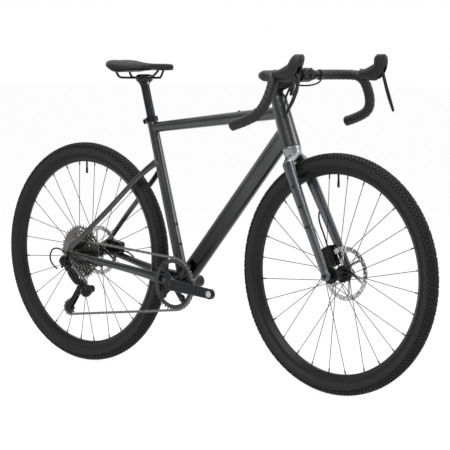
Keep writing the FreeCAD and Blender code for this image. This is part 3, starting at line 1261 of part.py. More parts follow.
cassette_pieces = []
for count, teeth in enumerate(cassette_teeth):
    offset = chain_side + (count - rest_cog) * S.cog_pitch
    radius = pitch_radius(teeth)
    phase = pin_phase(rear_axle, radius) if count == rest_cog else 0.0
    cog = sprocket(rear_axle, offset, teeth, S.cog_thickness, S.freehub_radius + S.shaft_fit, phase)
    room = radius - S.cog_band - S.freehub_radius - S.cog_band
    if room > S.cog_band:
        windows = []
        for window in range(int(S.cog_windows)):
            turn = 2 * math.pi * (window + half_share) / S.cog_windows
            at = S.freehub_radius + S.cog_band + room / 2
            centre = across(rear_axle, offset - S.cog_thickness) + V(math.cos(turn), 0, math.sin(turn)) * at
            windows.append(rod(centre, Y_AXIS, 2 * S.cog_thickness, room / 2))
        cog = cog.cut(Part.makeCompound(windows))
    cassette_pieces.append(cog)
    if count:
        start = across(rear_axle, offset - S.cog_pitch + S.cog_thickness / 2)
        cassette_pieces.append(rod(start, Y_AXIS, S.cog_pitch - S.cog_thickness,
                                   S.freehub_radius + S.spacer_wall, S.freehub_radius + S.shaft_fit))
smallest = chain_side - rest_cog * S.cog_pitch - S.cog_thickness / 2
largest = chain_side + (len(cassette_teeth) - 1 - rest_cog) * S.cog_pitch + S.cog_thickness / 2
bore = S.freehub_bore + S.shaft_fit
freehub = rod(across(rear_axle, smallest), Y_AXIS, -S.freehub_start - smallest, S.freehub_radius, bore)
freehub = freehub.fuse(rod(across(rear_axle, largest), Y_AXIS, -S.freehub_start - largest,
                           S.freehub_radius + S.spacer_wall, bore))
lockring = rod(across(rear_axle, smallest - S.lockring_thickness), Y_AXIS, S.lockring_thickness,
               S.freehub_radius + S.lockring_wall, bore)
solid_node("cassette", Part.makeCompound(cassette_pieces + [freehub, lockring]))

# Cranks, with the spindle on the right arm, and the chainring with its bolts

crank_turn = -math.radians(S.crank_angle)
crank_way = V(math.cos(crank_turn), 0, math.sin(crank_turn))


def boxed(centre, along, side, half_side, half_other):
    """A closed rectangle with cut corners: half_side along side, half_other square to it."""
    side_flat = half_side - S.crank_corner
    other_flat = half_other - S.crank_corner
    points = []
    for turn, other_turn in ((1, 1), (-1, 1), (-1, -1), (1, -1)):
        side_end = V(turn * half_side, other_turn * other_flat, 0)
        other_end = V(turn * side_flat, other_turn * half_other, 0)
        ends = [side_end, other_end]
        points += ends if turn == other_turn else ends[::-1]
    outline = Part.makePolygon(points + points[:1])
    outline.Placement = place(centre, along, side)
    return outline


def crank_arm(side, way, boss_start):
    """Arm with spindle boss and threaded pedal eye."""
    boss_end = S.crank_boss_face
    pedal = bb + way * S.crank_length
    thickness = S.pedal_face - S.pedal_inner
    outward = Y_AXIS * side
    boss = rod(across(bb, side * boss_start), outward, boss_end - boss_start, S.crank_boss_radius)
    eye = rod(across(pedal, side * S.pedal_inner), outward, thickness, S.pedal_eye_radius)
    rise = V(-way.z, 0, way.x)
    root = across(bb, side * (boss_end - S.crank_root_half))
    tip = across(pedal, side * (S.pedal_face + S.pedal_inner) / 2)
    beam = Part.makeLoft([
        boxed(root, way, rise, S.crank_root_depth, S.crank_root_half - S.crank_relief),
        boxed(tip, way, rise, S.crank_tip_depth, thickness / 2 - S.crank_relief)], True, True)
    hole = rod(across(pedal, side * S.pedal_inner), outward, thickness, S.pedal_thread_radius)
    return boss.multiFuse([eye, beam]).cut(hole)


cup_face = S.shell_width / 2 + S.cup_width
boss_start = cup_face + S.seat_gap
ring_face = S.chainline + S.ring_thickness / 2
right_arm = crank_arm(-1, crank_way, boss_start)
spider = []
for count in range(int(S.spider_arms)):
    turn = crank_turn + 2 * math.pi * (count + half_share) / S.spider_arms
    way = V(math.cos(turn), 0, math.sin(turn))
    rise = V(-way.z, 0, way.x)
    bar = Part.makeBox(S.bolt_circle, S.spider_thickness, 2 * S.spider_half)
    spider_face = -ring_face - S.weld_gap - S.spider_thickness
    bar.Placement = place(across(bb, spider_face) - rise * S.spider_half, rise, way)
    pad_centre = across(bb + way * S.bolt_circle, -ring_face - S.weld_gap)
    pad = rod(pad_centre, Y_AXIS * -1, S.spider_thickness, S.spider_half)
    spider += [bar, pad]
spindle = rod(across(bb, S.crank_boss_face - S.crank_relief), Y_AXIS * -1,
              S.crank_boss_face + S.crank_boss_face - 2 * S.crank_relief, S.spindle_radius)
right_bore = rod(across(bb, -boss_start), Y_AXIS * -1, S.crank_boss_face, S.spindle_radius + S.weld_gap)
right_arm = right_arm.multiFuse(spider).cut(right_bore)
solid_node("crank_arm_right", Part.makeCompound([right_arm, spindle]))
left_bore = rod(across(bb, boss_start), Y_AXIS, S.crank_boss_face, S.spindle_radius + S.shaft_fit)
solid_node("crank_arm_left", crank_arm(1, crank_way * -1, boss_start).cut(left_bore))

ring_radius = pitch_radius(ring_teeth)
ring = sprocket(bb, chain_side, ring_teeth, S.ring_thickness, S.ring_bore, pin_phase(bb, ring_radius))
ring_tabs = []
for count in range(int(S.spider_arms)):
    turn = crank_turn + 2 * math.pi * (count + half_share) / S.spider_arms
    tab_centre = bb + V(math.cos(turn), 0, math.sin(turn)) * S.bolt_circle
    tab_face = across(tab_centre, chain_side - S.ring_thickness / 2)
    ring_tabs.append(rod(tab_face, Y_AXIS, S.ring_thickness, S.ring_tab))
ring_pieces = [ring.multiFuse(ring_tabs)]
for count in range(int(S.spider_arms)):
    turn = crank_turn + 2 * math.pi * (count + half_share) / S.spider_arms
    centre = bb + V(math.cos(turn), 0, math.sin(turn)) * S.bolt_circle
    inner_face = across(centre, -S.chainline + S.ring_thickness / 2)
    outer_face = across(centre, -ring_face - S.weld_gap - S.spider_thickness)
    ring_pieces.append(rod(inner_face, Y_AXIS, S.ring_bolt_height, S.ring_bolt_radius, S.boss_socket_radius))
    bolt = rod(outer_face, Y_AXIS * -1, S.ring_bolt_height, S.ring_bolt_radius, S.boss_socket_radius)
    ring_pieces.append(bolt)
solid_node("chainring", Part.makeCompound(ring_pieces))

# Rear derailleur: mounting knuckle, link, cage knuckle, cage and two pulleys

link_top = hanger_eye + V(S.link_top_front, 0, -S.link_top_drop)
link_low = cage_pivot + V(-S.link_low_back, 0, S.link_low_rise)
link_way = (link_low - link_top).normalize()
link_axis = V(-link_way.z, 0, link_way.x)
link_side = hanger_face - S.hanger_thickness - S.link_outset


def knuckle_ears(pivot, anchor):
    """Two ears beside a link pivot, tied back to the knuckle, with the pivot pin."""
    pieces = []
    reach = (anchor - pivot).dot(link_way)
    span = 2 * (S.link_half + S.seat_gap + S.ear_thickness)
    for side in SIDES:
        start = pivot + link_axis * (side * (S.link_half + S.seat_gap))
        pieces.append(rod(start, link_axis * side, S.ear_thickness, S.link_boss_radius))
        middle = start + link_axis * (side * S.ear_thickness / 2)
        pieces.append(rod(middle, link_way * reach, abs(reach), S.ear_thickness / 2))
    tie_start = pivot + link_way * reach - link_axis * (span / 2)
    pieces.append(rod(tie_start, link_axis, span, S.ear_thickness / 2))
    pieces.append(rod(pivot - link_axis * (span / 2), link_axis, span, S.link_pin_radius))
    return pieces


top_pivot = across(link_top, link_side)
low_pivot = across(link_low, link_side)
knuckle_start = across(hanger_eye, hanger_face - S.hanger_thickness - S.weld_gap)
b_knuckle = rod(knuckle_start, Y_AXIS * -1, S.knuckle_length, S.knuckle_radius)
b_bolt_length = S.hanger_thickness + S.knuckle_length
b_bolt = rod(across(hanger_eye, hanger_face), Y_AXIS * -1, b_bolt_length, S.knuckle_bolt_radius)
ferrule_way = V(-1, 0, -1).normalize()
ferrule = rod(across(hanger_eye, link_side), ferrule_way, S.ferrule_length, S.ferrule_radius)
b_anchor = across(hanger_eye, link_side)
solid_node("derailleur_b_knuckle", b_knuckle.multiFuse([b_bolt, ferrule] + knuckle_ears(top_pivot, b_anchor)))

beam = Part.makeLoft([
    section(top_pivot, link_way, Y_AXIS, S.link_boss_radius, S.link_half - S.crank_relief),
    section(low_pivot, link_way, Y_AXIS, S.link_boss_radius, S.link_half - S.crank_relief)], True, False)
bosses = [rod(pivot - link_axis * S.link_half, link_axis, 2 * S.link_half, S.link_boss_radius)
          for pivot in (top_pivot, low_pivot)]
link_bore_radius = S.link_pin_radius + S.shaft_fit
link_bores = [rod(pivot - link_axis * S.link_half, link_axis, 2 * S.link_half, link_bore_radius)
              for pivot in (top_pivot, low_pivot)]
solid_node("derailleur_link", beam.multiFuse(bosses).cut(Part.makeCompound(link_bores)))

cage_outer = chain_side - S.cage_half - S.cage_plate
p_start = across(cage_pivot, cage_outer - S.seat_gap)
p_end = link_side - S.link_boss_radius
p_body = rod(p_start, Y_AXIS * -1, p_start.y - p_end, S.p_knuckle_radius)
p_bore = rod(p_start, Y_AXIS * -1, S.cage_pin_length + S.seat_gap, S.cage_pin_radius + S.shaft_fit)
p_anchor = across(cage_pivot, link_side)
solid_node("derailleur_p_knuckle", p_body.cut(p_bore).multiFuse(knuckle_ears(low_pivot, p_anchor)))


def cage_plate(face, ends, radius):
    """A flat plate with round ends along a line of centres."""
    pieces = [rod(across(end, face), Y_AXIS, S.cage_plate, radius) for end in ends]
    for first, second in zip(ends, ends[1:]):
        way = second - first
        rise = V(-way.z, 0, way.x).normalize()
        bar = Part.makeBox(way.Length, S.cage_plate, 2 * radius)
        bar.Placement = place(across(first, face) + rise * radius + Y_AXIS * S.cage_plate, rise * -1, way)
        pieces.append(bar)
    return pieces[0].multiFuse(pieces[1:])


cage_parts = [cage_plate(cage_outer, [cage_pivot, guide_centre, tension_centre], S.cage_radius),
              cage_plate(chain_side + S.cage_half, [guide_centre, tension_centre], S.cage_radius)]
for centre in (guide_centre, tension_centre):
    cage_width = 2 * (S.cage_half + S.cage_plate)
    cage_parts.append(rod(across(centre, cage_outer), Y_AXIS, cage_width, S.link_pin_radius))
cage_parts.append(rod(across(cage_pivot, cage_outer + S.cage_plate), Y_AXIS * -1,
                      S.cage_plate + S.cage_pin_length, S.cage_pin_radius))
solid_node("derailleur_cage", cage_parts[0].multiFuse(cage_parts[1:]))
for label, centre in (("guide_pulley", guide_centre), ("tension_pulley", tension_centre)):
    wheel = sprocket(centre, chain_side, pulley_teeth, S.pulley_thickness, S.link_pin_radius + S.shaft_fit,
                     pin_phase(centre, pitch_radius(pulley_teeth)))
    hub_half = S.cage_half - S.seat_gap
    hub_ring = rod(across(centre, chain_side - hub_half), Y_AXIS, 2 * hub_half,
                   S.pulley_hub_radius, S.link_pin_radius + S.shaft_fit)
    solid_node(label, wheel.fuse(hub_ring))

# Disc brakes: a caliper over the rotor's edge with two pads inside

parallel_share = 0.9


def caliper_pieces(axle, along, back, seat, rotor_side, outset):
    """Caliper body seated on a stay or leg, and its pads beside the rotor."""
    inner = rotor_side - S.caliper_inset
    block = Part.makeBox(S.caliper_length, outset + S.caliper_inset, S.caliper_depth)
    corner = across(axle + along * S.caliper_start + back * seat, inner)
    if along.cross(Y_AXIS).dot(back) > 0:
        block.Placement = place(corner, back, along)
    else:
        block.Placement = place(corner + along * S.caliper_length, back, along * -1)
    rounded = [edge for edge in block.Edges
               if abs(edge.tangentAt(edge.FirstParameter).dot(Y_AXIS)) > parallel_share
               and (edge.CenterOfMass - axle).dot(back) > seat + S.caliper_depth / 2]
    block = block.makeFillet(S.caliper_round, rounded)
    half_slot = S.rotor_thickness / 2 + S.pad_gap + S.pad_thickness + S.weld_gap
    slot_radius = S.rotor_radius + S.caliper_slot_gap
    slot = rod(across(axle, rotor_side - half_slot), Y_AXIS, 2 * half_slot, slot_radius)
    body = block.cut(slot)
    middle = axle + along * (S.caliper_start + S.caliper_length / 2) + back * (seat + S.caliper_depth / 2)
    out = (middle - axle).normalize()
    pad_round = rod(axle + out * S.pad_radius_place, Y_AXIS, S.pad_thickness, S.pad_radius)
    pads = []
    for side in SIDES:
        near = S.rotor_thickness / 2 + S.pad_gap
        pad = pad_round.copy()
        pad.translate(Y_AXIS * (rotor_side + (near if side > 0 else -near - S.pad_thickness)))
        pads.append(pad)
    return body, Part.makeCompound(pads)


leg_back = leg_front * -1
front_body, front_pads = caliper_pieces(
    front_axle, leg_down * -1, leg_back, S.front_caliper_seat, S.front_rotor_side, S.front_caliper_outset)
solid_node("front_caliper", front_body)
solid_node("front_brake_pads", front_pads)
rear_body, rear_pads = caliper_pieces(
    rear_axle, stay_along, stay_up, S.rear_caliper_seat, S.rear_rotor_side, S.rear_caliper_outset)
solid_node("rear_caliper", rear_body)
solid_node("rear_brake_pads", rear_pads)

# Hoses and housing, held along their routes: points chosen by hand

cockpit_routes = (
    ((397.6, -72.8, 928.6), (405, -62, 922), (400, -48, 913), (380, -36, 907), (360, -28, 900),
     (344, -23, 882), (333, -20, 858), (329, -18, 836), (327, -14, 815), (316, -8, 803)),
    ((392.8, -72.8, 921.1), (398, -60, 912), (392, -48, 902), (374, -40, 895), (358, -35, 884),
     (346, -32, 866), (338, -29, 845), (334, -25, 822), (329, -19, 802), (316, -10, 788)),
)
leg_hose_route = ((422, 45, 552), (407, 46, 524), (413, 46, 494), (432, 43, 462), (450, 39, 424))
stem_hose_route = ((397.6, 72.8, 928.6), (408, 58, 920), (412, 38, 909), (409, 14, 903), (399, -8, 901),
                   (382, -14, 902), (366, -9, 906), (352, -2, 918))
rear_hose_route = ((-360, 60, 330), (-377, 60, 347), (-396, 58.5, 357), (-424, 57, 361))
shift_route = (
    (-386, -62, 318.6), (-424, -68.5, 325.2), (-462, -81, 332), (-508, -93.5, 348), (-550, -95, 370),
    (-584, -95, 366), (-598, -95, 338), (-583, -94.5, 311), (-562, -94, 302))

doc.recompute()


def hose(route, seats=()):
    """A hose through points chosen by hand, stopped short of the pieces that its ends enter."""
    points = [V(*point) for point in route]
    body = pipe(points, S.hose_radius)
    for label, end_share in seats:
        seat = next(item for item in nodes if item.Label == label).Shape
        way = points[1] - points[0] if end_share == 0 else points[-2] - points[-1]
        near = seat.copy()
        near.translate(way.normalize() * S.seat_gap)
        body = body.cut(seat).cut(near)
        body = max(body.Solids, key=lambda solid: solid.Volume)
    return body


solid_node("cockpit_hoses", Part.makeCompound([hose(route, [("head_tube", 1)]) for route in cockpit_routes]))
solid_node("front_brake_hose", Part.makeCompound([
    hose(leg_hose_route, [("fork", 0), ("front_caliper", 1)]), hose(stem_hose_route, [("stem", 1)])]))
solid_node("rear_brake_hose", hose(rear_hose_route, [("chainstays", 0), ("rear_caliper", 1)]))
solid_node("shift_housing", hose(shift_route))

# Seatpost with its cradle, rails, clamp, shell and padded saddle

post_top = bb + seat_up * (S.seat_tube_length + S.post_rise)
post = rod(post_top - seat_up * S.post_length, seat_up, S.post_length, S.post_radius)
rail_height = post_top.z + S.rail_rise
cradle_top = rail_height - S.rail_radius - S.weld_gap


def clamp_block(bottom, height):
    """A block across both rails, centred on the post."""
    corner = V(post_top.x - S.clamp_half_length, -S.clamp_half_width, bottom)
    return Part.makeBox(2 * S.clamp_half_length, 2 * S.clamp_half_width, height, corner)


cradle = clamp_block(cradle_top - S.cradle_height, S.cradle_height)
bolt_places = [V(post_top.x + side * S.clamp_bolt_reach, 0, cradle_top - S.cradle_height) for side in SIDES]
bolt_holes = [rod(point, Z_AXIS, S.cradle_height, S.seat_bolt_radius + S.shaft_fit) for point in bolt_places]
solid_node("seatpost", post.fuse(cradle).cut(Part.makeCompound(bolt_holes)))
yoke_base = rail_height + S.rail_radius + S.weld_gap
yoke = clamp_block(yoke_base, S.yoke_height)
seat_bolt_length = yoke_base - cradle_top + S.cradle_height - S.overrun
bolts = [rod(point + Z_AXIS * S.overrun, Z_AXIS, seat_bolt_length, S.seat_bolt_radius)
         for point in bolt_places]
solid_node("seat_clamp", yoke.multiFuse(bolts))

saddle_rear = post_top.x - S.saddle_setback
# Stations along the saddle as shares: place from the rear, half width, drop of the crown, depth, channel
saddle_shares = (
    (0.0, 0.6, 0.3, 0.85, 0.12), (0.12, 0.95, 0.02, 1.08, 0.55), (0.26, 1.0, 0.08, 1.02, 1.0),
    (0.42, 0.79, 0.34, 0.76, 1.0), (0.57, 0.5, 0.5, 0.6, 1.0), (0.72, 0.33, 0.52, 0.56, 0.85),
    (0.87, 0.27, 0.56, 0.54, 0.4), (1.0, 0.17, 0.8, 0.38, 0.12))


def saddle_station(shares):
    """Sizes of the saddle at one station: place, half width, top, foot and channel depth."""
    along, width, drop, depth, channel = shares
    top = S.saddle_top - drop * S.saddle_drop
    return (saddle_rear + along * S.saddle_length, width * S.saddle_half_width, top,
            top - depth * S.saddle_depth,
            channel * S.saddle_channel)


# Corners of the padding as shares of its half width, then of its height and of the channel
pad_foot_share, pad_side_share, pad_shoulder_share = 0.84, 0.99, 0.96
pad_crown_share, pad_groove_share = 0.6, 0.16
shoulder_drop_share, groove_drop_share, groove_lip_share = 0.32, 0.06, 0.45


def pad_section(shares):
    """Cross-section of the padding: drawn-in sides, crowned halves and a middle channel."""
    x, half, top, foot, channel = saddle_station(shares)
    shoulder = top - shoulder_drop_share * (top - foot)
    waist = (foot + shoulder) / 2
    lip = top - groove_drop_share * (top - foot) - groove_lip_share * channel
    floor = top - groove_drop_share * (top - foot) - channel

    def at(width_share, height):
        return V(x, width_share * half, height)

    edges = [
        Part.LineSegment(at(-pad_foot_share, foot), at(pad_foot_share, foot)),
        Part.Arc(at(pad_foot_share, foot), at(pad_side_share, waist), at(pad_shoulder_share, shoulder)),
        Part.Arc(at(pad_shoulder_share, shoulder), at(pad_crown_share, top), at(pad_groove_share, lip)),
        Part.Arc(at(pad_groove_share, lip), at(0, floor), at(-pad_groove_share, lip)),
        Part.Arc(at(-pad_groove_share, lip), at(-pad_crown_share, top), at(-pad_shoulder_share, shoulder)),
        Part.Arc(at(-pad_shoulder_share, shoulder), at(-pad_side_share, waist), at(-pad_foot_share, foot))]
    return Part.Wire([edge.toShape() for edge in edges])


solid_node("saddle_pad", Part.makeLoft([pad_section(shares) for shares in saddle_shares], True, False))


shell_top_share, shell_base_share = 0.82, 0.7


def shell_section(shares):
    """Cross-section of the shell that carries the padding."""
    x, half, top, foot, channel = saddle_station(shares)
    high = foot - S.seat_gap
    low = high - S.saddle_shell
    wide = shell_top_share * half
    narrow = shell_base_share * half
    return Part.makePolygon([V(x, -wide, high), V(x, wide, high), V(x, narrow, low), V(x, -narrow, low),
                             V(x, -wide, high)])


solid_node("saddle_shell", Part.makeLoft([shell_section(shares) for shares in saddle_shares], True, False))


def shell_underside(share):
    """Height of the shell's lower face at a share of the saddle's length."""
    for before, after in zip(saddle_shares, saddle_shares[1:]):
        if before[0] <= share <= after[0]:
            mix = (share - before[0]) / (after[0] - before[0])
            low = saddle_station(before)[3] * (1 - mix) + saddle_station(after)[3] * mix
            return low - S.seat_gap - S.saddle_shell
    raise ValueError(share)


rail_bend_share = 0.2
rails = []
for side in SIDES:
    rear_share = S.rail_rear_share
    nose_share = S.rail_nose_share
    rear_end = V(saddle_rear + rear_share * S.saddle_length, side * S.rail_rear_side,
                 shell_underside(rear_share) - S.rail_radius)
    nose_end = V(saddle_rear + nose_share * S.saddle_length, side * S.rail_nose_side,
                 shell_underside(nose_share) - S.rail_radius)
    low_rear = V(post_top.x - S.rail_half_flat, side * S.rail_side, rail_height)
    low_nose = V(post_top.x + S.rail_half_flat, side * S.rail_side, rail_height)
    rails.append(pipe([rear_end, low_rear, low_nose, nose_end], S.rail_radius, rail_bend_share))
solid_node("saddle_rails", Part.makeCompound(rails))

# Check every object and piece, then write one file for each piece

doc.recompute()
failed = [item.Label for item in doc.Objects if "Invalid" in item.State or "Error" in item.State]
failed += [item.Label for item in nodes if item.Shape.isNull() or not item.Shape.isValid()]
if failed:
    raise SystemExit("failed pieces: " + ", ".join(failed))
os.makedirs("parts", exist_ok=True)
for item in nodes:
    item.Shape.exportStep(os.path.join("parts", item.Label + ".step"))
print(len(nodes), "pieces written")
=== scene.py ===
import json
import math

import bmesh
import bpy
from mathutils import Matrix, Vector
from mathutils.bvhtree import BVHTree

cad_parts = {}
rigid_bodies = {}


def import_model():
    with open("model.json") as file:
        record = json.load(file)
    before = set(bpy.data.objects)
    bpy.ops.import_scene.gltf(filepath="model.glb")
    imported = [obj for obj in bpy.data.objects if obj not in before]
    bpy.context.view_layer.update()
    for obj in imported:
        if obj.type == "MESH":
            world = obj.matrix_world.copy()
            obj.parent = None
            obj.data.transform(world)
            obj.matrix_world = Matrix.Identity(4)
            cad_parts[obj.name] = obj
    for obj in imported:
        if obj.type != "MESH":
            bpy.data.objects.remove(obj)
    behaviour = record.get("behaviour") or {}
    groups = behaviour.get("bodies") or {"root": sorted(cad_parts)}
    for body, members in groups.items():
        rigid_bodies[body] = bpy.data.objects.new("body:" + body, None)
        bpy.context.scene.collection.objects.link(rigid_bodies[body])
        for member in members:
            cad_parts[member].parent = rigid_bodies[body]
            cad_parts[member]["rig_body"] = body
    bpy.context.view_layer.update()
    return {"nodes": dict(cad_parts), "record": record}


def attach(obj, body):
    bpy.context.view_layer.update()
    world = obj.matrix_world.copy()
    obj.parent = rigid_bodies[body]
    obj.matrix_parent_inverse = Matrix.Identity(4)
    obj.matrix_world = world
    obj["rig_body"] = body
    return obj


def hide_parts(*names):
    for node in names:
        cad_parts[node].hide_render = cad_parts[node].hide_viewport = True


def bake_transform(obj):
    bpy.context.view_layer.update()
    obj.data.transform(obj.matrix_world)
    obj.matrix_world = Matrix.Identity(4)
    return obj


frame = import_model()
nodes = frame["nodes"]
scene = bpy.context.scene
scene.view_settings.view_transform = "Standard"

# Main points of the bike, in metres
REAR_AXLE = Vector((-0.519, 0.0, 0.3545))
FRONT_AXLE = Vector((0.519, 0.0, 0.3545))
CRANK_AXLE = Vector((-0.089669, 0.0, 0.2845))
BAR_CENTRE = Vector((0.385577, 0.0, 0.932426))
SIDES = (-1, 1)
# Lines of the paint: the down tube from the bottom bracket, and the edge of the painted highlight on the
# fork's crown
DOWN_TUBE_WAY = Vector((0.6747, 0.0, 0.7381))
STEER_UP = Vector((-0.325568, 0.0, 0.945519))
CROWN_HIGHLIGHT_LINE = Vector((0.3557, 0.0, 0.6749))
# The side of the studio that has no white backdrop
ROOM_SIDE = Vector((0.25, -0.97, 0.0))
# The photograph's camera: where it stands, its picture's size and its focal length and axis in pixels
CAMERA_AIM = Vector((0.0, 0.0, 0.45))
CAMERA_WAY = Vector((0.66935, -0.73772, 0.08803))
CAMERA_DISTANCE = 6.3008
PHOTO_PIXELS = 450.0
FOCAL_PIXELS = 2050.65
AXIS_PIXELS = (205.81, 231.34)
SENSOR_MM = 36.0
# The floor: its half width, its glow, and the share of the glow that the camera and reflections see
FLOOR_HALF = 40.0
FLOOR_GLOW = 1.15
FLOOR_GLOW_SHARE = 0.8
# Brightness of the world on the object, and of the white backdrop and the room as polished surfaces show them
WORLD_LEVEL = 0.4
BACKDROP_LEVEL = 1.0
ROOM_LEVEL = 0.3


# Materials

def shader(name):
    """A new material with its principled shader and its node tree."""
    material = bpy.data.materials.new(name)
    material.use_nodes = True
    tree = material.node_tree
    return material, tree, tree.nodes["Principled BSDF"]


def texture(tree, kind, scale, detail=2.0, stretch=(1.0, 1.0, 1.0)):
    """A procedural texture in the piece's own space, stretched along its axes."""
    place = tree.nodes.new("ShaderNodeTexCoord")
    mapping = tree.nodes.new("ShaderNodeMapping")
    mapping.inputs["Scale"].default_value = stretch
    tree.links.new(place.outputs["Object"], mapping.inputs["Vector"])
    node = tree.nodes.new(kind)
    node.inputs["Scale"].default_value = scale
    if "Detail" in node.inputs:
        node.inputs["Detail"].default_value = detail
    tree.links.new(mapping.outputs["Vector"], node.inputs["Vector"])
    return node


def spread(tree, source, low, high, from_low=0.3, from_high=0.7):
    """A value that runs between two limits as a texture does."""
    node = tree.nodes.new("ShaderNodeMapRange")
    node.inputs["From Min"].default_value = from_low
    node.inputs["From Max"].default_value = from_high
    node.inputs["To Min"].default_value = low
    node.inputs["To Max"].default_value = high
    tree.links.new(source, node.inputs["Value"])
    return node.outputs["Result"]


def blended(tree, factor, first, second):
    """A colour that goes from one socket or colour to another by a factor."""
    node = tree.nodes.new("ShaderNodeMix")
    node.data_type = "RGBA"
    tree.links.new(factor, node.inputs[0])
    for place, colour in ((6, first), (7, second)):
        if isinstance(colour, tuple):
            node.inputs[place].default_value = (*colour, 1.0)
        else:
            tree.links.new(colour, node.inputs[place])
    return node.outputs[2]


def bump(tree, bsdf, height, strength, distance):
    """Raises the surface by a height."""
    node = tree.nodes.new("ShaderNodeBump")
    node.inputs["Strength"].default_value = strength
    node.inputs["Distance"].default_value = distance
    tree.links.new(height, node.inputs["Height"])
    tree.links.new(node.outputs["Normal"], bsdf.inputs["Normal"])


def metal(name, dark, light, rough, metallic=1.0, grain=900.0, depth=0.00003, stretch=(1, 1, 1), wear=None):
    """Machined or anodised metal: fine grain, uneven roughness and worn edges."""
    material, tree, bsdf = shader(name)
    cloud = texture(tree, "ShaderNodeTexNoise", 60.0, 3.0)
    fine = texture(tree, "ShaderNodeTexNoise", grain, 2.0, stretch)
    colour = blended(tree, cloud.outputs["Fac"], dark, light)
    if wear:
        geometry = tree.nodes.new("ShaderNodeNewGeometry")
        edge = spread(tree, geometry.outputs["Pointiness"], 0.0, 1.0, 0.53, 0.62)
        colour = blended(tree, edge, colour, wear)
    tree.links.new(colour, bsdf.inputs["Base Color"])
    tree.links.new(spread(tree, fine.outputs["Fac"], rough - 0.06, rough + 0.08), bsdf.inputs["Roughness"])
    bsdf.inputs["Metallic"].default_value = metallic
    bsdf.inputs["Specular IOR Level"].default_value = 0.25
    bump(tree, bsdf, fine.outputs["Fac"], 0.25, depth)
    return material


def vector_step(tree, operation, first, second, output="Vector"):
    """One vector operation between a socket and a fixed vector."""
    node = tree.nodes.new("ShaderNodeVectorMath")
    node.operation = operation
    tree.links.new(first, node.inputs[0])
    if second is not None:
        node.inputs[1].default_value = second
    return node.outputs[output]


def paint(name, dark, light, rough):
    """Metallic paint with fine flake under a clear coat: a fading frame, or a fork with a painted highlight
    on its crown.
    """
    material, tree, bsdf = shader(name)
    flake = texture(tree, "ShaderNodeTexVoronoi", 2600.0)
    cloud = texture(tree, "ShaderNodeTexNoise", 7.0, 3.0)
    mixed = tree.nodes.new("ShaderNodeMath")
    mixed.operation = "MULTIPLY_ADD"
    tree.links.new(flake.outputs["Color"], mixed.inputs[0])
    mixed.inputs[1].default_value = 0.45
    tree.links.new(spread(tree, cloud.outputs["Fac"], 0.0, 0.55), mixed.inputs[2])
    colour = blended(tree, mixed.outputs[0], dark, light)
    place = tree.nodes.new("ShaderNodeTexCoord").outputs["Object"]
    if name == "frame_grey_paint":
        from_bracket = vector_step(tree, "SUBTRACT", place, CRANK_AXLE)
        along = vector_step(tree, "DOT_PRODUCT", from_bracket, DOWN_TUBE_WAY, "Value")
        off_line = vector_step(tree, "CROSS_PRODUCT", from_bracket, DOWN_TUBE_WAY)
        near = spread(tree, vector_step(tree, "LENGTH", off_line, None, "Value"), 1.0, 0.0, 0.036, 0.046)
        low = spread(tree, along, 1.0, 0.0, 0.16, 0.52)
        both = tree.nodes.new("ShaderNodeMath")
        both.operation = "MULTIPLY"
        tree.links.new(near, both.inputs[0])
        tree.links.new(low, both.inputs[1])
        colour = blended(tree, both.outputs[0], colour, (0.004, 0.004, 0.0045))
    else:
        # Painted highlight: above a sharp line across the steerer, the fork's crown is painted light grey in
        # place of the clear coat's reflection
        from_crown = vector_step(tree, "SUBTRACT", place, CROWN_HIGHLIGHT_LINE)
        height = vector_step(tree, "DOT_PRODUCT", from_crown, STEER_UP, "Value")
        crown = spread(tree, height, 0.0, 1.0, -0.0004, 0.0004)
        colour = blended(tree, crown, colour, (0.26, 0.27, 0.28))
    tree.links.new(colour, bsdf.inputs["Base Color"])
    uneven = spread(tree, flake.outputs["Color"], rough - 0.05, rough + 0.07, 0.0, 1.0)
    tree.links.new(uneven, bsdf.inputs["Roughness"])
    bsdf.inputs["Metallic"].default_value = 0.85
    bsdf.inputs["Coat Weight"].default_value = 0.4
    bsdf.inputs["Coat Roughness"].default_value = 0.1
    bump(tree, bsdf, cloud.outputs["Fac"], 0.05, 0.0004)
    return material


def rubber(name, dark, light, rough, grain, depth, gloss=0.16):
    """Matte rubber, plastic or leather with a moulded grain."""
    material, tree, bsdf = shader(name)
    cloud = texture(tree, "ShaderNodeTexNoise", 35.0, 3.0)
    cells = texture(tree, "ShaderNodeTexVoronoi", grain)
    tree.links.new(blended(tree, cloud.outputs["Fac"], dark, light), bsdf.inputs["Base Color"])
    tree.links.new(spread(tree, cloud.outputs["Fac"], rough - 0.07, rough + 0.07), bsdf.inputs["Roughness"])
    bsdf.inputs["Specular IOR Level"].default_value = gloss
    bump(tree, bsdf, cells.outputs["Distance"], 0.5, depth)
    return material


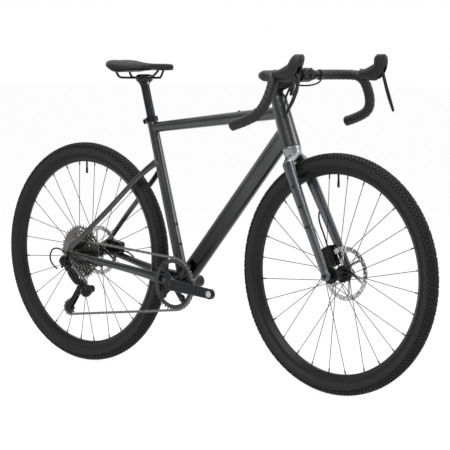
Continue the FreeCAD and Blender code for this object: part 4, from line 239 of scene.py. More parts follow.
MATERIALS = {
    "frame_paint": paint("frame_grey_paint", (0.016, 0.0175, 0.017), (0.080, 0.085, 0.083), rough=0.23),
    "fork_paint": paint("fork_grey_paint", (0.028, 0.031, 0.033), (0.128, 0.138, 0.146), rough=0.26),
    "black_alloy": metal("black_anodised", (0.005, 0.005, 0.0055), (0.011, 0.011, 0.0115), 0.34, 0.35,
                         wear=(0.02, 0.02, 0.021)),
    "silver_alloy": metal("machined_alloy", (0.42, 0.42, 0.43), (0.6, 0.6, 0.61), 0.28),
    "crank_alloy": metal("crank_anodised", (0.014, 0.015, 0.017), (0.026, 0.028, 0.030), 0.34, 0.6,
                         wear=(0.07, 0.07, 0.073)),
    "steel": metal("brushed_steel", (0.36, 0.357, 0.352), (0.6, 0.596, 0.59), 0.26, grain=700.0,
                   stretch=(1, 0.1, 1)),
    "black_steel": metal("black_coated_steel", (0.007, 0.007, 0.007), (0.016, 0.016, 0.016), 0.34, 0.4,
                         wear=(0.05, 0.05, 0.05)),
    "chain_steel": metal("chain_steel", (0.10, 0.098, 0.094), (0.26, 0.255, 0.245), 0.34, grain=500.0),
    "tyre": rubber("tyre_rubber", (0.007, 0.007, 0.0072), (0.015, 0.015, 0.0153), 0.58, 900.0, 0.00025,
                   gloss=0.3),
    "tape": rubber("bar_tape", (0.009, 0.009, 0.0095), (0.019, 0.019, 0.020), 0.5, 520.0, 0.0004, gloss=0.3),
    "hood_rubber": rubber("hood_rubber", (0.009, 0.009, 0.0092), (0.018, 0.018, 0.0185), 0.44, 700.0, 0.0003,
                          gloss=0.32),
    "hose": rubber("hose_cover", (0.005, 0.005, 0.005), (0.009, 0.009, 0.009), 0.42, 1500.0, 0.00005),
    "saddle_cover": rubber("saddle_cover", (0.012, 0.012, 0.0127), (0.024, 0.024, 0.0252), 0.46, 620.0,
                           0.0003),
    "black_plastic": rubber("black_plastic", (0.007, 0.007, 0.007), (0.014, 0.014, 0.014), 0.42, 1100.0,
                            0.0001, gloss=0.35),
    "pad_compound": rubber("pad_compound", (0.06, 0.045, 0.03), (0.14, 0.11, 0.08), 0.8, 800.0, 0.0003),
}
NODE_SLOT = {entry["node"]: entry["material_slot"] for entry in frame["record"]["subparts"]}


def dress(piece, slot):
    """Gives a piece the material of a slot."""
    piece.data.materials.clear()
    piece.data.materials.append(MATERIALS[slot])


for name, node in nodes.items():
    dress(node, NODE_SLOT[name])
dress(nodes["chainring"], "black_steel")
dress(nodes["cassette"], "chain_steel")

# Camera as in the photograph, floor and light

camera_data = bpy.data.cameras.new("camera")
camera = bpy.data.objects.new("camera", camera_data)
scene.collection.objects.link(camera)
back = CAMERA_WAY.normalized()
camera.location = CAMERA_AIM + back * CAMERA_DISTANCE
camera.rotation_mode = "QUATERNION"
camera.rotation_quaternion = (-back).to_track_quat("-Z", "Y")
camera_data.sensor_width = SENSOR_MM
camera_data.lens = FOCAL_PIXELS / PHOTO_PIXELS * SENSOR_MM
camera_data.shift_x = (PHOTO_PIXELS / 2 - AXIS_PIXELS[0]) / PHOTO_PIXELS
camera_data.shift_y = (AXIS_PIXELS[1] - PHOTO_PIXELS / 2) / PHOTO_PIXELS
camera_data.clip_end = 200.0
scene.camera = camera

floor_mesh = bpy.data.meshes.new("floor")
floor_corners = [(x * FLOOR_HALF, y * FLOOR_HALF, 0.0) for x, y in ((-1, -1), (1, -1), (1, 1), (-1, 1))]
floor_mesh.from_pydata(floor_corners, [], [(0, 1, 2, 3)])
floor = bpy.data.objects.new("floor", floor_mesh)
scene.collection.objects.link(floor)
material, tree, bsdf = shader("pale_floor")
bsdf.inputs["Base Color"].default_value = (0.7, 0.7, 0.7, 1.0)
bsdf.inputs["Roughness"].default_value = 0.9
bsdf.inputs["Specular IOR Level"].default_value = 0.0
glow = tree.nodes.new("ShaderNodeEmission")
glow.inputs["Strength"].default_value = FLOOR_GLOW
path = tree.nodes.new("ShaderNodeLightPath")
seen = tree.nodes.new("ShaderNodeMath")
seen.operation = "MAXIMUM"
tree.links.new(path.outputs["Is Camera Ray"], seen.inputs[0])
tree.links.new(path.outputs["Is Glossy Ray"], seen.inputs[1])
share = tree.nodes.new("ShaderNodeMath")
share.operation = "MULTIPLY"
share.inputs[1].default_value = FLOOR_GLOW_SHARE
more = tree.nodes.new("ShaderNodeMath")
more.operation = "MAXIMUM"
tree.links.new(seen.outputs[0], more.inputs[0])
tree.links.new(path.outputs["Is Transmission Ray"], more.inputs[1])
tree.links.new(more.outputs[0], share.inputs[0])
mix = tree.nodes.new("ShaderNodeMixShader")
tree.links.new(share.outputs[0], mix.inputs["Fac"])
tree.links.new(bsdf.outputs["BSDF"], mix.inputs[1])
tree.links.new(glow.outputs["Emission"], mix.inputs[2])
tree.links.new(mix.outputs["Shader"], tree.nodes["Material Output"].inputs["Surface"])
floor.data.materials.append(material)

world = bpy.data.worlds.new("studio")
scene.world = world
world.use_nodes = True
tree = world.node_tree
background = tree.nodes["Background"]
background.inputs["Color"].default_value = (1.0, 1.0, 1.0, 1.0)
path = tree.nodes.new("ShaderNodeLightPath")
seen = tree.nodes.new("ShaderNodeMath")
seen.operation = "MAXIMUM"
tree.links.new(path.outputs["Is Camera Ray"], seen.inputs[0])
tree.links.new(path.outputs["Is Transmission Ray"], seen.inputs[1])
plain = spread(tree, seen.outputs[0], WORLD_LEVEL, BACKDROP_LEVEL, 0.0, 1.0)
# Polished surfaces show the white backdrop, and the dimmer room on the drive side
towards = vector_step(tree, "DOT_PRODUCT", tree.nodes.new("ShaderNodeTexCoord").outputs["Generated"],
                      ROOM_SIDE, "Value")
mirrored = spread(tree, towards, BACKDROP_LEVEL, ROOM_LEVEL, 0.05, 0.5)
strength = tree.nodes.new("ShaderNodeMix")
tree.links.new(path.outputs["Is Glossy Ray"], strength.inputs[0])
tree.links.new(plain, strength.inputs[2])
tree.links.new(mirrored, strength.inputs[3])
tree.links.new(strength.outputs[0], background.inputs["Strength"])


def lamp(name, place, target, size, power):
    """A rectangular lamp that faces a point."""
    data = bpy.data.lights.new(name, "AREA")
    data.shape = "RECTANGLE"
    data.size, data.size_y = size
    data.energy = power
    item = bpy.data.objects.new(name, data)
    scene.collection.objects.link(item)
    item.location = place
    item.rotation_mode = "QUATERNION"
    item.rotation_quaternion = (Vector(target) - Vector(place)).to_track_quat("-Z", "Y")


lamp("key", (1.2, -3.2, 3.4), (0, 0, 0.5), (3.0, 2.0), 110.0)
lamp("overhead", (-0.4, 0.4, 3.8), (0, 0, 0.5), (3.5, 2.5), 90.0)
lamp("front_rim", (3.4, 1.6, 2.2), (0.3, 0, 0.6), (1.6, 2.2), 45.0)

# Pieces that stand for or finish the CAD solids

SAME_POINT = 0.00001
SWELL_POWER = 0.7


def shade_smooth(mesh):
    """Smooth shading on every face."""
    mesh.polygons.foreach_set("use_smooth", [True] * len(mesh.polygons))


def mesh_piece(name, vertices, faces):
    """A smooth mesh object in the scene."""
    mesh = bpy.data.meshes.new(name)
    mesh.from_pydata([tuple(point) for point in vertices], [], faces)
    mesh.update()
    shade_smooth(mesh)
    piece = bpy.data.objects.new(name, mesh)
    scene.collection.objects.link(piece)
    return piece


def finished(piece, slot):
    """Gives a piece the material of a slot."""
    dress(piece, slot)


def add_piece(name, vertices, faces, body, slot, stands_for=()):
    """A smooth mesh piece that rides on a body and takes a slot's finish."""
    piece = mesh_piece(name, vertices, faces)
    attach(piece, body)
    finished(piece, slot)
    if stands_for:
        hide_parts(*stands_for)
    return piece


def sharpen(piece, degrees):
    """Marks edges above an angle as sharp, so that flats stay flat."""
    mesh = bmesh.new()
    mesh.from_mesh(piece.data)
    for edge in mesh.edges:
        if len(edge.link_faces) == 2 and edge.calc_face_angle() > math.radians(degrees):
            edge.smooth = False
    mesh.to_mesh(piece.data)
    mesh.free()


def applied(piece):
    """The mesh of a piece with its modifiers worked in."""
    bpy.context.view_layer.update()
    return bpy.data.meshes.new_from_object(piece.evaluated_get(bpy.context.evaluated_depsgraph_get()))


def work_in(piece):
    """Gives a piece the mesh that its modifiers make, with smooth shading, and clears them."""
    mesh = applied(piece)
    piece.modifiers.clear()
    piece.data = mesh
    shade_smooth(mesh)


def smoothing(piece, voxel, rounds):
    """Remeshes a piece in small cubes and smooths it."""
    remesh = piece.modifiers.new("remesh", "REMESH")
    remesh.mode = "VOXEL"
    remesh.voxel_size = voxel
    smooth = piece.modifiers.new("smooth", "SMOOTH")
    smooth.iterations = rounds
    smooth.factor = 0.5


def ring_faces(rows, around, capped=True):
    """Faces of a tube whose points lie in rows of equal rings, with a cap on each end if asked."""
    faces = []
    for row in range(rows - 1):
        first, second = row * around, (row + 1) * around
        for step in range(around):
            following = (step + 1) % around
            faces.append((first + step, first + following, second + following, second + step))
    if capped:
        faces.append(tuple(reversed(range(around))))
        faces.append(tuple(range((rows - 1) * around, rows * around)))
    return faces


def transported(path):
    """Two steady cross directions at each point along a line."""
    tangents = []
    for count in range(len(path)):
        before = path[max(count - 1, 0)]
        after = path[min(count + 1, len(path) - 1)]
        tangents.append((after - before).normalized())
    side = tangents[0].orthogonal().normalized()
    frames = []
    for tangent in tangents:
        side = (side - tangent * side.dot(tangent)).normalized()
        frames.append((side, tangent.cross(side)))
    return frames


def sweep(path, radius, segments):
    """Vertices and faces of a closed tube; its radius is a function of the way along and the angle round."""
    vertices = []
    travel = 0.0
    for count, (point, (side, other)) in enumerate(zip(path, transported(path))):
        if count:
            travel += (point - path[count - 1]).length
        for step in range(segments):
            angle = 2 * math.pi * step / segments
            reach = radius(travel, angle)
            vertices.append(point + side * (reach * math.cos(angle)) + other * (reach * math.sin(angle)))
    return vertices, ring_faces(len(path), segments)


def signed_power(value, power):
    """A power of a value's size, with its sign kept."""
    return math.copysign(abs(value) ** power, value)


def swollen(mesh, centre, reaches, way):
    """Adds a blunt rounded body to a mesh, with reaches along a way, sideways and across both."""
    along = Vector(way).normalized()
    sideways = Vector((0.0, 1.0, 0.0))
    axes = Matrix((along, sideways, along.cross(sideways))).transposed()
    work = bmesh.new()
    work.from_mesh(mesh)
    made = bmesh.ops.create_icosphere(work, subdivisions=4, radius=1.0)
    for vertex in made["verts"]:
        shaped = Vector([reach * signed_power(part, SWELL_POWER) for reach, part in zip(reaches, vertex.co)])
        vertex.co = Vector(centre) + axes @ shaped
    work.to_mesh(mesh)
    work.free()


def softened(node, voxel, rounds, swell=None, room=0.0):
    """A copy of a CAD piece with edges rounded as by forging, and with a swelling or some room if asked."""
    source = nodes[node]
    mesh = source.data.copy()
    if swell:
        swollen(mesh, *swell)
    piece = bpy.data.objects.new(node + "_finished", mesh)
    scene.collection.objects.link(piece)
    weld = piece.modifiers.new("weld", "WELD")
    weld.merge_threshold = SAME_POINT
    smoothing(piece, voxel, rounds)
    if room:
        inset = piece.modifiers.new("room", "DISPLACE")
        inset.mid_level = 0.0
        inset.strength = -room
    work_in(piece)
    bpy.data.meshes.remove(mesh)
    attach(piece, source["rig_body"])
    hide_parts(node)
    finished(piece, NODE_SLOT[node])


# Tyres: a carcass with moulded side rings, and a dense tread of small blocks

TYRE_TURNS = 180
# Places round the section, in degrees from the crown
SECTION_DEGREES = (-142, -134, -127, *range(-120, 121, 3), 127, 134, 142)
BLOCK_EDGE_DEGREES = 32
# Where the carcass sinks under the tread, in degrees from the crown, and over how many it does so
TREAD_EDGE, TREAD_FADE = 80.0, 8.0
TYRE_RADIUS = 0.3545
TYRE_HALF = 0.0215
TYRE_RING = TYRE_RADIUS - TYRE_HALF
TREAD_FLOOR = 0.0030
BLOCK_SINK = 0.0034
BLOCK_EXTRA = 0.0004
# Raised rings on the side: angle from the crown and height
SIDE_RINGS = ((88.0, 0.0003), (99.0, 0.0003), (112.0, 0.0006))
SIDE_RING_HALF = 2.5
# Corners of a block, and how its foot and its top compare with its stated size
BLOCK_CORNERS = ((-1, -1), (1, -1), (1, 1), (-1, 1))
BLOCK_FACES = ((4, 5, 6, 7), (0, 1, 5, 4), (1, 2, 6, 5), (2, 3, 7, 6), (3, 0, 4, 7))
FOOT_SHARE, TOP_SHARE = 1.12, 0.86
BLOCK_SKEW = 0.35
BLOCK_TAPER = 0.22
# Tread rows: angle from the crown, blocks round the wheel, half width, half length, height, phase
TREAD_ROWS = (
    (0.0, 220, 0.0027, 0.0031, 0.0024, 0.0), (15.0, 220, 0.0025, 0.0029, 0.0026, 0.5),
    (-15.0, 220, 0.0025, 0.0029, 0.0026, 0.5), (30.5, 220, 0.0025, 0.0030, 0.0029, 0.0),
    (-30.5, 220, 0.0025, 0.0030, 0.0029, 0.0), (47.0, 165, 0.0033, 0.0042, 0.0036, 0.25),
    (-47.0, 165, 0.0033, 0.0042, 0.0036, 0.25), (64.0, 165, 0.0027, 0.0040, 0.0034, 0.75),
    (-64.0, 165, 0.0027, 0.0040, 0.0034, 0.75))


def carcass_radius(degrees):
    """Radius of the tyre's section at an angle from its crown: low under the tread, ringed on the side."""
    away = abs(degrees)
    radius = TYRE_HALF - TREAD_FLOOR * min(1.0, max(0.0, (TREAD_EDGE - away) / TREAD_FADE))
    for ring, lift in SIDE_RINGS:
        radius += lift * max(0.0, 1.0 - abs(away - ring) / SIDE_RING_HALF)
    return radius


def tyre(node, body, axle):
    """A carcass turned round the axle, with rows of tread blocks."""
    vertices, faces = [], []
    for turn in range(TYRE_TURNS):
        way = 2 * math.pi * turn / TYRE_TURNS
        out = Vector((math.cos(way), 0.0, math.sin(way)))
        for degrees in SECTION_DEGREES:
            angle = math.radians(degrees)
            reach = carcass_radius(degrees)
            across = Vector((0, reach * math.sin(angle), 0))
            vertices.append(axle + out * (TYRE_RING + reach * math.cos(angle)) + across)
    row = len(SECTION_DEGREES)
    for turn in range(TYRE_TURNS):
        here, there = turn * row, (turn + 1) % TYRE_TURNS * row
        for step in range(row - 1):
            faces.append((here + step, here + step + 1, there + step + 1, there + step))
    for degrees, blocks, half_width, half_length, height, phase in TREAD_ROWS:
        angle = math.radians(degrees)
        for block in range(blocks):
            way = 2 * math.pi * (block + phase) / blocks
            out = Vector((math.cos(way), 0.0, math.sin(way)))
            along = Vector((-math.sin(way), 0.0, math.cos(way)))
            up = out * math.cos(angle) + Vector((0, math.sin(angle), 0))
            side = Vector((0, math.cos(angle), 0)) - out * math.sin(angle)
            skew = BLOCK_SKEW if block % 2 else -BLOCK_SKEW
            outward = 1 if degrees > 0 else -1
            base = axle + out * TYRE_RING + up * (TYRE_HALF - BLOCK_SINK)
            first = len(vertices)
            for lift, share in ((0.0, FOOT_SHARE), (height + BLOCK_EXTRA, TOP_SHARE)):
                for x, y in BLOCK_CORNERS:
                    lean = skew * half_width * x if degrees else 0.0
                    length = y * half_length * share * (1 - BLOCK_TAPER * x * outward)
                    place = base + up * lift + side * (x * half_width * share)
                    vertices.append(place + along * (length + lean))
            faces += [tuple(first + corner for corner in face) for face in BLOCK_FACES]
    piece = add_piece(node + "_tread", vertices, faces, body, "tyre", [node])
    sharpen(piece, BLOCK_EDGE_DEGREES)


tyre("front_tyre", "front_wheel", FRONT_AXLE)
tyre("rear_tyre", "rear_wheel", REAR_AXLE)

# Hoses: each follows its route on one smooth curve

HOSE_RADIUS = 0.0025
COCKPIT_ROUTES = (
    ((0.3976, -0.0728, 0.9286), (0.405, -0.062, 0.922), (0.400, -0.048, 0.913), (0.380, -0.036, 0.907),
     (0.360, -0.028, 0.900), (0.344, -0.023, 0.882), (0.333, -0.020, 0.858), (0.329, -0.018, 0.836),
     (0.3275, -0.0152, 0.8218)),
    ((0.3928, -0.0728, 0.9211), (0.398, -0.060, 0.912), (0.392, -0.048, 0.902), (0.374, -0.040, 0.895),
     (0.358, -0.035, 0.884), (0.346, -0.032, 0.866), (0.338, -0.029, 0.845), (0.334, -0.025, 0.822),
     (0.3294, -0.0198, 0.8055)))
LEG_HOSE_ROUTE = (
    (0.4111, 0.0457, 0.5305), (0.4075, 0.046, 0.518), (0.413, 0.046, 0.494), (0.432, 0.043, 0.462),
    (0.4475, 0.0396, 0.4293))
STEM_HOSE_ROUTE = (
    (0.3976, 0.0728, 0.9286), (0.408, 0.058, 0.920), (0.412, 0.038, 0.909), (0.409, 0.014, 0.903),
    (0.399, -0.008, 0.901), (0.382, -0.014, 0.902), (0.370, -0.0105, 0.9045), (0.3638, -0.0078, 0.9083))
REAR_HOSE_ROUTE = (
    (-0.369, 0.061, 0.3415), (-0.379, 0.0605, 0.349), (-0.396, 0.0585, 0.357), (-0.4165, 0.0574, 0.360))
SHIFT_ROUTE = (
    (-0.386, -0.062, 0.3186), (-0.424, -0.0685, 0.3252), (-0.462, -0.081, 0.332), (-0.508, -0.0935, 0.348),
    (-0.550, -0.095, 0.370), (-0.584, -0.095, 0.366), (-0.598, -0.095, 0.338), (-0.583, -0.0945, 0.311),
    (-0.562, -0.094, 0.302))


def smooth_line(name, route):
    """Points along the smooth curve that a route's points control."""
    curve = bpy.data.curves.new(name + "_route", "CURVE")
    curve.dimensions = "3D"
    curve.resolution_u = 10
    spline = curve.splines.new("NURBS")
    spline.points.add(len(route) - 1)
    for control, point in zip(spline.points, route):
        control.co = (*point, 1.0)
    spline.order_u = 3
    spline.use_endpoint_u = True
    holder = bpy.data.objects.new(name + "_route", curve)
    scene.collection.objects.link(holder)
    line = applied(holder)
    points = [vertex.co.copy() for vertex in line.vertices]
    bpy.data.meshes.remove(line)
    bpy.data.objects.remove(holder)
    bpy.data.curves.remove(curve)
    return points


def hose(name, route, node, body=None, bend=None):
    """A hose tube along its route, which goes back into the object."""
    path = smooth_line(name, route)
    piece = mesh_piece(name, *sweep(path, lambda travel, angle: HOSE_RADIUS, 12))
    if bend:
        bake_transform(piece)
    else:
        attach(piece, body)
    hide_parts(node)
    finished(piece, "hose")


for count, route in enumerate(COCKPIT_ROUTES):
    hose("cockpit_hose_%d" % count, route, "cockpit_hoses", bend=(Vector(route[-1]), Vector(route[4])))
hose("leg_hose", LEG_HOSE_ROUTE, "front_brake_hose", "steering")
hose("stem_hose", STEM_HOSE_ROUTE, "front_brake_hose", "steering")
hose("rear_hose", REAR_HOSE_ROUTE, "rear_brake_hose", "frame")
hose("shift_hose", SHIFT_ROUTE, "shift_housing", "frame")

# Frame: the tubes run into each other through smooth welds

RAY_START = 0.0002
BORE_REACH = 0.09


def without_bore(source):
    """A copy of a closed tube's mesh as one solid, without its inner wall."""
    work = bmesh.new()
    work.from_mesh(source.data)
    bmesh.ops.remove_doubles(work, verts=work.verts, dist=SAME_POINT)
    tree = BVHTree.FromBMesh(work)
    inner = []
    for face in work.faces:
        start = face.calc_center_median() + face.normal * RAY_START
        if tree.ray_cast(start, face.normal, BORE_REACH)[0] is not None:
            inner.append(face)
    bmesh.ops.delete(work, geom=inner, context="FACES")
    bmesh.ops.holes_fill(work, edges=[edge for edge in work.edges if edge.is_boundary], sides=0)
    bmesh.ops.triangulate(work, faces=work.faces)
    return work


def welded_frame(name, solid_nodes, closed_nodes, voxel, rounds, share):
    """One skin over several frame tubes, with fillets where they meet."""
    whole = bmesh.new()
    for node in solid_nodes:
        whole.from_mesh(nodes[node].data)
    for node in closed_nodes:
        tube = without_bore(nodes[node])
        part = bpy.data.meshes.new("part")
        tube.to_mesh(part)
        whole.from_mesh(part)
        tube.free()
        bpy.data.meshes.remove(part)
    mesh = bpy.data.meshes.new(name)
    whole.to_mesh(mesh)
    whole.free()
    piece = bpy.data.objects.new(name, mesh)
    scene.collection.objects.link(piece)
    smoothing(piece, voxel, rounds)
    thin = piece.modifiers.new("thin", "DECIMATE")
    thin.ratio = share
    work_in(piece)
    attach(piece, "frame")
    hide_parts(*solid_nodes, *closed_nodes)
    finished(piece, "frame_paint")


welded_frame(
    "frame_skin", ("head_tube", "bottom_bracket_shell", "chainstays", "seatstays", "dropouts"),
    ("seat_tube", "top_tube", "down_tube"), 0.0013, 6, 0.4)

# Forged, cast and moulded pieces with rounded edges

for node, voxel, rounds in (
        ("fork", 0.0014, 5), ("stem", 0.0008, 6), ("stem_faceplate", 0.0007, 4),
        ("crank_arm_right", 0.0009, 8), ("crank_arm_left", 0.0009, 8),
        ("hood_right", 0.0010, 10), ("hood_left", 0.0010, 10), ("brake_lever_right", 0.0007, 5),
        ("brake_lever_left", 0.0007, 5), ("front_caliper", 0.0007, 9), ("rear_caliper", 0.0007, 9),
        ("seat_collar", 0.0005, 3)):
    softened(node, voxel, rounds)

# Derailleur bodies, moulded fuller than the pivots that they carry, with room for the link to turn

LINK_WAY = (0.057, 0.0, -0.0545)
for node, centre, reaches, room in (
        ("derailleur_b_knuckle", (-0.531, -0.096, 0.329), (0.0155, 0.0085, 0.0155), 0.0),
        ("derailleur_link", (-0.4815, -0.0985, 0.28325), (0.0325, 0.0088, 0.0138), 0.0003),
        ("derailleur_p_knuckle", (-0.4355, -0.088, 0.2375), (0.0165, 0.0165, 0.0165), 0.0)):
    softened(node, 0.0006, 7, (centre, reaches, LINK_WAY), room)

# Turned details: the crank bolt's cap, and the threaded inserts for the pedals

TURNED_EDGE_DEGREES = 35


def turned(name, centre, way, profile, body, slot, segments=40):
    """A round piece from a profile of reaches along its axis and radii."""
    way = Vector(way).normalized()
    side = way.orthogonal().normalized()
    other = way.cross(side)
    vertices = []
    for reach, radius in profile:
        for step in range(segments):
            angle = 2 * math.pi * step / segments
            out = side * math.cos(angle) + other * math.sin(angle)
            vertices.append(centre + way * reach + out * radius)
    faces = ring_faces(len(profile), segments, capped=profile[0][1] != profile[-1][1])
    piece = add_piece(name, vertices, faces, body, slot)
    work = bmesh.new()
    work.from_mesh(piece.data)
    bmesh.ops.remove_doubles(work, verts=work.verts, dist=SAME_POINT / 10)
    bmesh.ops.recalc_face_normals(work, faces=work.faces)
    work.to_mesh(piece.data)
    work.free()
    sharpen(piece, TURNED_EDGE_DEGREES)


CRANK_WAY = Vector((0.169217, 0.0, -0.016294)).normalized()
CRANK_LENGTH = 0.170
CAP_FACE = 0.0730
PEDAL_FACE = 0.0760
CAP_PROFILE = ((0.0, 0.0128), (0.0009, 0.0128), (0.0014, 0.0122), (0.0014, 0.0098), (0.0007, 0.0094),
               (0.0004, 0.0050), (-0.0024, 0.0047))
INSERT_PROFILE = ((0.0008, 0.0102), (0.0008, 0.0074), (0.0003, 0.0067), (-0.0128, 0.0066), (-0.0128, 0.0072),
                  (-0.0004, 0.0080), (-0.0004, 0.0102), (0.0008, 0.0102))
for side in SIDES:
    word = "left" if side > 0 else "right"
    face = Vector((0.0, side, 0.0))
    turned("crank_cap_" + word, CRANK_AXLE + face * CAP_FACE, face, CAP_PROFILE, "crank", "crank_alloy")
    pedal = CRANK_AXLE + CRANK_WAY * (-side * CRANK_LENGTH)
    turned("pedal_insert_" + word, pedal + face * PEDAL_FACE, face, INSERT_PROFILE, "crank", "silver_alloy")

# Bar tape, wound in overlapping turns, with a finishing band and an end plug

BAR_HALF = 0.196
BAR_REACH = 0.086
BAR_DROP = 0.135
BAR_FLARE = 0.055
BAR_SEGMENTS = 32
TAPE_START = 0.074
TAPE_LAP = 0.0165
TAPE_RADIUS = 0.0144
TAPE_LIFT = 0.0011
LAP_EDGE = 0.92
TAPE_STEP = 0.0011
BAND_STEPS = 11
BAND_RADIUS, BAND_EDGE_RADIUS = 0.0157, 0.0152
BAND_START, BAND_END = 0.0003, 0.0118
# End plug: place beyond the tape's end, and radius
PLUG_PROFILE = ((0.0001, 0.0146), (0.0006, 0.0152), (0.0026, 0.0152), (0.0036, 0.0142), (0.0041, 0.0120))
# Places along the bend, as shares of the reach, flare and drop
BAR_HOOK = (
    (-0.07, 0.0, 0.0), (0.7, 0.1, -0.02), (0.77, 0.64, -0.42), (0.6, 1.02, -0.76), (0.12, 1.18, -0.94),
    (-0.5, 1.22, -1.05))


def evenly(points, step):
    """Points at even steps along a line."""
    lengths = [0.0]
    for before, after in zip(points, points[1:]):
        lengths.append(lengths[-1] + (after - before).length)
    count = max(2, int(lengths[-1] / step))
    result, place = [], 0
    for number in range(count + 1):
        travel = lengths[-1] * number / count
        while place < len(points) - 2 and lengths[place + 1] < travel:
            place += 1
        span = lengths[place + 1] - lengths[place]
        result.append(points[place].lerp(points[place + 1], (travel - lengths[place]) / span))
    return result


def tape_radius(travel, angle):
    """Each turn of the tape lies over the edge of the one before."""
    turn = (travel / TAPE_LAP + angle / (2 * math.pi)) % 1.0
    lift = turn if turn < LAP_EDGE else (1.0 - turn) / (1.0 - LAP_EDGE) * LAP_EDGE
    return TAPE_RADIUS + TAPE_LIFT * lift


def band_radius(travel, angle):
    """A flat band with lower edges."""
    return BAND_RADIUS if BAND_START < travel < BAND_END else BAND_EDGE_RADIUS


def plug_radius(travel, angle):
    """The radius of the end plug's nearest station."""
    start = PLUG_PROFILE[0][0]
    return min(PLUG_PROFILE, key=lambda station: abs(station[0] - start - travel))[1]


for side in SIDES:
    word = "left" if side > 0 else "right"
    corners = [Vector((BAR_CENTRE.x + reach * BAR_REACH, side * (BAR_HALF + flare * BAR_FLARE),
                       BAR_CENTRE.z + drop * BAR_DROP)) for reach, flare, drop in BAR_HOOK]
    first = BAR_CENTRE.lerp(corners[0], TAPE_START / BAR_HALF)
    line = evenly(smooth_line("tape_" + word, [first] + corners), TAPE_STEP)
    vertices, faces = sweep(line, tape_radius, BAR_SEGMENTS)
    add_piece("tape_" + word, vertices, faces, "steering", "tape", ["bar_tape"])
    band = [line[0].lerp(line[BAND_STEPS], share) for share in (0.0, 0.04, 0.5, 0.96, 1.0)]
    vertices, faces = sweep(band, band_radius, BAR_SEGMENTS)
    add_piece("tape_band_" + word, vertices, faces, "steering", "black_plastic")
    way = (line[-1] - line[-2]).normalized()
    plug = [line[-1] + way * reach for reach, radius in PLUG_PROFILE]
    vertices, faces = sweep(plug, plug_radius, BAR_SEGMENTS)
    add_piece("bar_plug_" + word, vertices, faces, "steering", "black_plastic")

# Saddle padding: a crowned cover with a pressure channel, drawn-in sides and a slanted rear

SADDLE_REAR = -0.40616
SADDLE_LENGTH = 0.264
SADDLE_HALF = 0.071
SADDLE_TOP = 0.975
SADDLE_DROP = 0.020
SADDLE_DEPTH = 0.034
SADDLE_CHANNEL = 0.009
CHANNEL_HALF = 0.013
FULL_EDGE_WIDTH = 0.03
SLANT = 0.9
SLANT_END = 0.34
SADDLE_ROWS = 56
# Stations: place from the rear, then shares of the half width, the crown's drop, the depth and the channel
SADDLE_STATIONS = (
    (0.0, 0.4, 0.32, 0.3, 0.12), (0.05, 0.74, 0.12, 0.58, 0.3), (0.13, 0.96, 0.02, 0.92, 0.55),
    (0.26, 1.0, 0.08, 1.02, 1.0), (0.42, 0.79, 0.34, 0.76, 1.0), (0.57, 0.5, 0.5, 0.6, 1.0),
    (0.72, 0.33, 0.52, 0.56, 0.85), (0.87, 0.28, 0.54, 0.56, 0.4), (0.95, 0.25, 0.6, 0.52, 0.2),
    (0.985, 0.19, 0.7, 0.42, 0.1), (1.0, 0.09, 0.9, 0.2, 0.0))


def curve_value(stations, share, column):
    """A smooth value between stations, by a Catmull-Rom curve."""
    spot = next((n for n in range(len(stations) - 1) if share <= stations[n + 1][0]), len(stations) - 2)
    values = [stations[min(max(n, 0), len(stations) - 1)] for n in range(spot - 1, spot + 3)]
    span = values[2][0] - values[1][0]
    mix = (share - values[1][0]) / span
    a, b, c, d = (value[column] for value in values)
    return b + 0.5 * mix * (c - a + mix * (2 * a - 5 * b + 4 * c - d + mix * (3 * (b - c) + d - a)))


# Half outline of the cover: share of the half width, drop below the crown, share of the depth
SADDLE_OUTLINE = (
    (0.0, 0.0, 0.0), (0.10, 0.0, 0.0), (0.22, 0.0, 0.0), (0.36, 0.0, 0.0), (0.52, 0.0009, 0.0),
    (0.68, 0.0027, 0.0), (0.82, 0.0062, 0.0), (0.92, 0.0115, 0.0), (0.975, 0.0095, 0.25), (0.99, 0.006, 0.5),
    (0.985, 0.003, 0.72), (0.955, 0.001, 0.88), (0.9, 0.0, 0.97), (0.82, 0.0, 1.0))


def rear_slant(share):
    """How far the sides lean forward below the crown, over the rear third alone."""
    return SLANT * max(0.0, 1.0 - share / SLANT_END)


def saddle_sizes(share):
    """Place, half width, top and depth of the saddle at a share of its length."""
    width = SADDLE_HALF * curve_value(SADDLE_STATIONS, share, 1)
    top = SADDLE_TOP - SADDLE_DROP * curve_value(SADDLE_STATIONS, share, 2)
    depth = SADDLE_DEPTH * curve_value(SADDLE_STATIONS, share, 3)
    return SADDLE_REAR + SADDLE_LENGTH * share, width, top, depth


def saddle_ring(share):
    """The cover's outline across the saddle."""
    x, width, top, depth = saddle_sizes(share)
    channel = SADDLE_CHANNEL * curve_value(SADDLE_STATIONS, share, 4)
    half = []
    for out, drop, low in SADDLE_OUTLINE:
        sink = channel * max(0.0, 1.0 - (out * width / CHANNEL_HALF) ** 2) ** 2
        scale = min(1.0, width / FULL_EDGE_WIDTH)
        height = max(top - drop * scale - low * depth - sink, top - depth)
        half.append((out * width, height))
    across = [(-y, z) for y, z in reversed(half)] + half[1:]
    return [Vector((x + rear_slant(share) * (top - z), y, z)) for y, z in across]


def lofted(name, rings, body, slot, stands_for):
    """A closed piece through a row of equal rings."""
    points = [point for ring in rings for point in ring]
    return add_piece(name, points, ring_faces(len(rings), len(rings[0])), body, slot, stands_for)


shares = [0.5 - 0.5 * math.cos(math.pi * number / SADDLE_ROWS) for number in range(SADDLE_ROWS + 1)]
pad = lofted("saddle_cover", [saddle_ring(share) for share in shares], "seat", "saddle_cover", ["saddle_pad"])
smooth = pad.modifiers.new("soft", "SMOOTH")
smooth.iterations = 4
smooth.factor = 0.5
finer = pad.modifiers.new("finer", "SUBSURF")
finer.levels = 1
finer.render_levels = 1
work_in(pad)

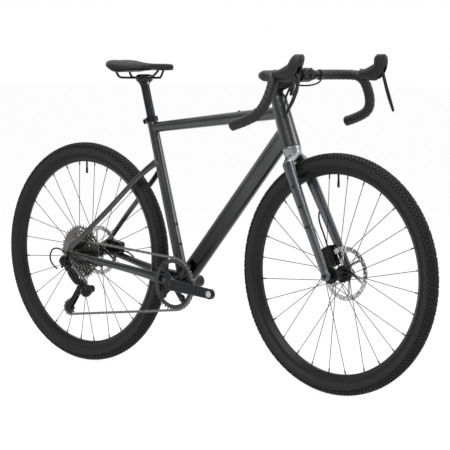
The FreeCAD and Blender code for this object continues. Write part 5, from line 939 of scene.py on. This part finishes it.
# Saddle shell: a thin moulded tray that follows the cover's foot

EDGE_DEGREES = 50.0
TRAY_INSET = 3
# Outline of the tray: share of the half width, and drop below the cover
SHELL_OUTLINE = ((-0.8, 0.0003), (0.8, 0.0003), (0.84, 0.0008), (0.82, 0.0018), (0.7, 0.0033), (-0.7, 0.0033),
                 (-0.82, 0.0018), (-0.84, 0.0008))


def shell_ring(share):
    """The tray's outline across the saddle."""
    x, width, top, depth = saddle_sizes(share)
    x += rear_slant(share) * depth
    return [Vector((x, out * width, top - depth - drop)) for out, drop in SHELL_OUTLINE]


tray_rings = [shell_ring(share) for share in shares[TRAY_INSET:-TRAY_INSET]]
sharpen(lofted("saddle_tray", tray_rings, "seat", "black_plastic", ["saddle_shell"]), EDGE_DEGREES)

# Saddle rails: one bent rod a side, from the rear wing down through the clamp and up to the nose

RAIL_RADIUS = 0.0035
RAIL_ROUTE = (
    (-0.355, 0.030, 0.9365), (-0.3500, 0.0293, 0.9290), (-0.3420, 0.0275, 0.9187), (-0.3150, 0.0230, 0.9184),
    (-0.2600, 0.0220, 0.91845), (-0.2180, 0.0220, 0.91845), (-0.2080, 0.0205, 0.9190),
    (-0.1890, 0.0110, 0.9415))
rail_points, rail_faces = [], []
for side in SIDES:
    line = smooth_line("rail", [(x, side * y, z) for x, y, z in RAIL_ROUTE])
    points, quads = sweep(line, lambda travel, angle: RAIL_RADIUS, 20)
    rail_faces += [tuple(corner + len(rail_points) for corner in face) for face in quads]
    rail_points += points
add_piece("saddle_rail_pair", rail_points, rail_faces, "seat", "black_steel", ["saddle_rails"])

# Seatpost with a forged head that opens out to the cradle under the rails, and the clamp above them

POST_TOP = Vector((-0.26016, 0.0, 0.90345))
POST_UP = Vector((-0.17049, 0.0, 0.61895)).normalized()
POST_TILT = -POST_UP.x / POST_UP.z
POST_RADIUS = 0.0136
POST_STATIONS = (0.348, 0.347, 0.030, 0.014)
RING_STEPS = 48
# Rings of the head: place, height, half length, half width, fullness from ellipse to box, and tilt
HEAD_RINGS = (
    (-0.2585, 0.8965, 0.0142, 0.0148, 2.2, 0.16), (-0.2598, 0.9025, 0.0150, 0.0180, 2.6, 0.05),
    (-0.26016, 0.9070, 0.0170, 0.0225, 3.2, 0.0), (-0.26016, 0.9110, 0.0190, 0.0258, 4.0, 0.0),
    (-0.26016, 0.9138, 0.0192, 0.0262, 4.0, 0.0), (-0.26016, 0.9146, 0.0180, 0.0250, 4.0, 0.0))
# Rings of the clamp: height, half length and half width
CLAMP_RINGS = (
    (0.9226, 0.0175, 0.0248), (0.9234, 0.0190, 0.0262), (0.9252, 0.0186, 0.0258), (0.9274, 0.0165, 0.0236),
    (0.9290, 0.0130, 0.0196), (0.9296, 0.0090, 0.0150))
CLAMP_FULLNESS = 3.4
CLAMP_BOLT_REACH = 0.015
CLAMP_BOLT_PROFILE = (
    (-0.0052, 0.0006), (-0.0052, 0.0038), (-0.0046, 0.0044), (-0.0016, 0.0044), (-0.0010, 0.0040),
    (-0.0010, 0.0025), (0.0215, 0.0025), (0.0215, 0.0006))


def block_ring(x, height, long_half, wide_half, fullness, turn=0.0):
    """A level ring between an ellipse and a box, tilted with the post where it leaves it."""
    ring = []
    for step in range(RING_STEPS):
        angle = 2 * math.pi * step / RING_STEPS
        along = signed_power(math.cos(angle), 2 / fullness) * long_half
        out = signed_power(math.sin(angle), 2 / fullness) * wide_half
        ring.append(Vector((x + along, out, height + turn * along)))
    return ring


post_rings = []
for below in POST_STATIONS:
    spot = POST_TOP - POST_UP * below
    post_rings.append(block_ring(spot.x, spot.z, POST_RADIUS * POST_UP.z, POST_RADIUS, 2.0, POST_TILT))
post_rings += [block_ring(*ring) for ring in HEAD_RINGS]
sharpen(lofted("seatpost_forged", post_rings, "seat", "crank_alloy", ["seatpost"]), EDGE_DEGREES)
clamp_rings = [block_ring(POST_TOP.x, *ring, CLAMP_FULLNESS) for ring in CLAMP_RINGS]
sharpen(lofted("rail_clamp", clamp_rings, "seat", "black_alloy", ["seat_clamp"]), EDGE_DEGREES)
for word, side in (("front", 1), ("rear", -1)):
    place = POST_TOP + Vector((side * CLAMP_BOLT_REACH, 0.0, 0.0))
    turned("rail_clamp_bolt_" + word, place, (0.0, 0.0, 1.0), CLAMP_BOLT_PROFILE, "seat", "steel", 24)
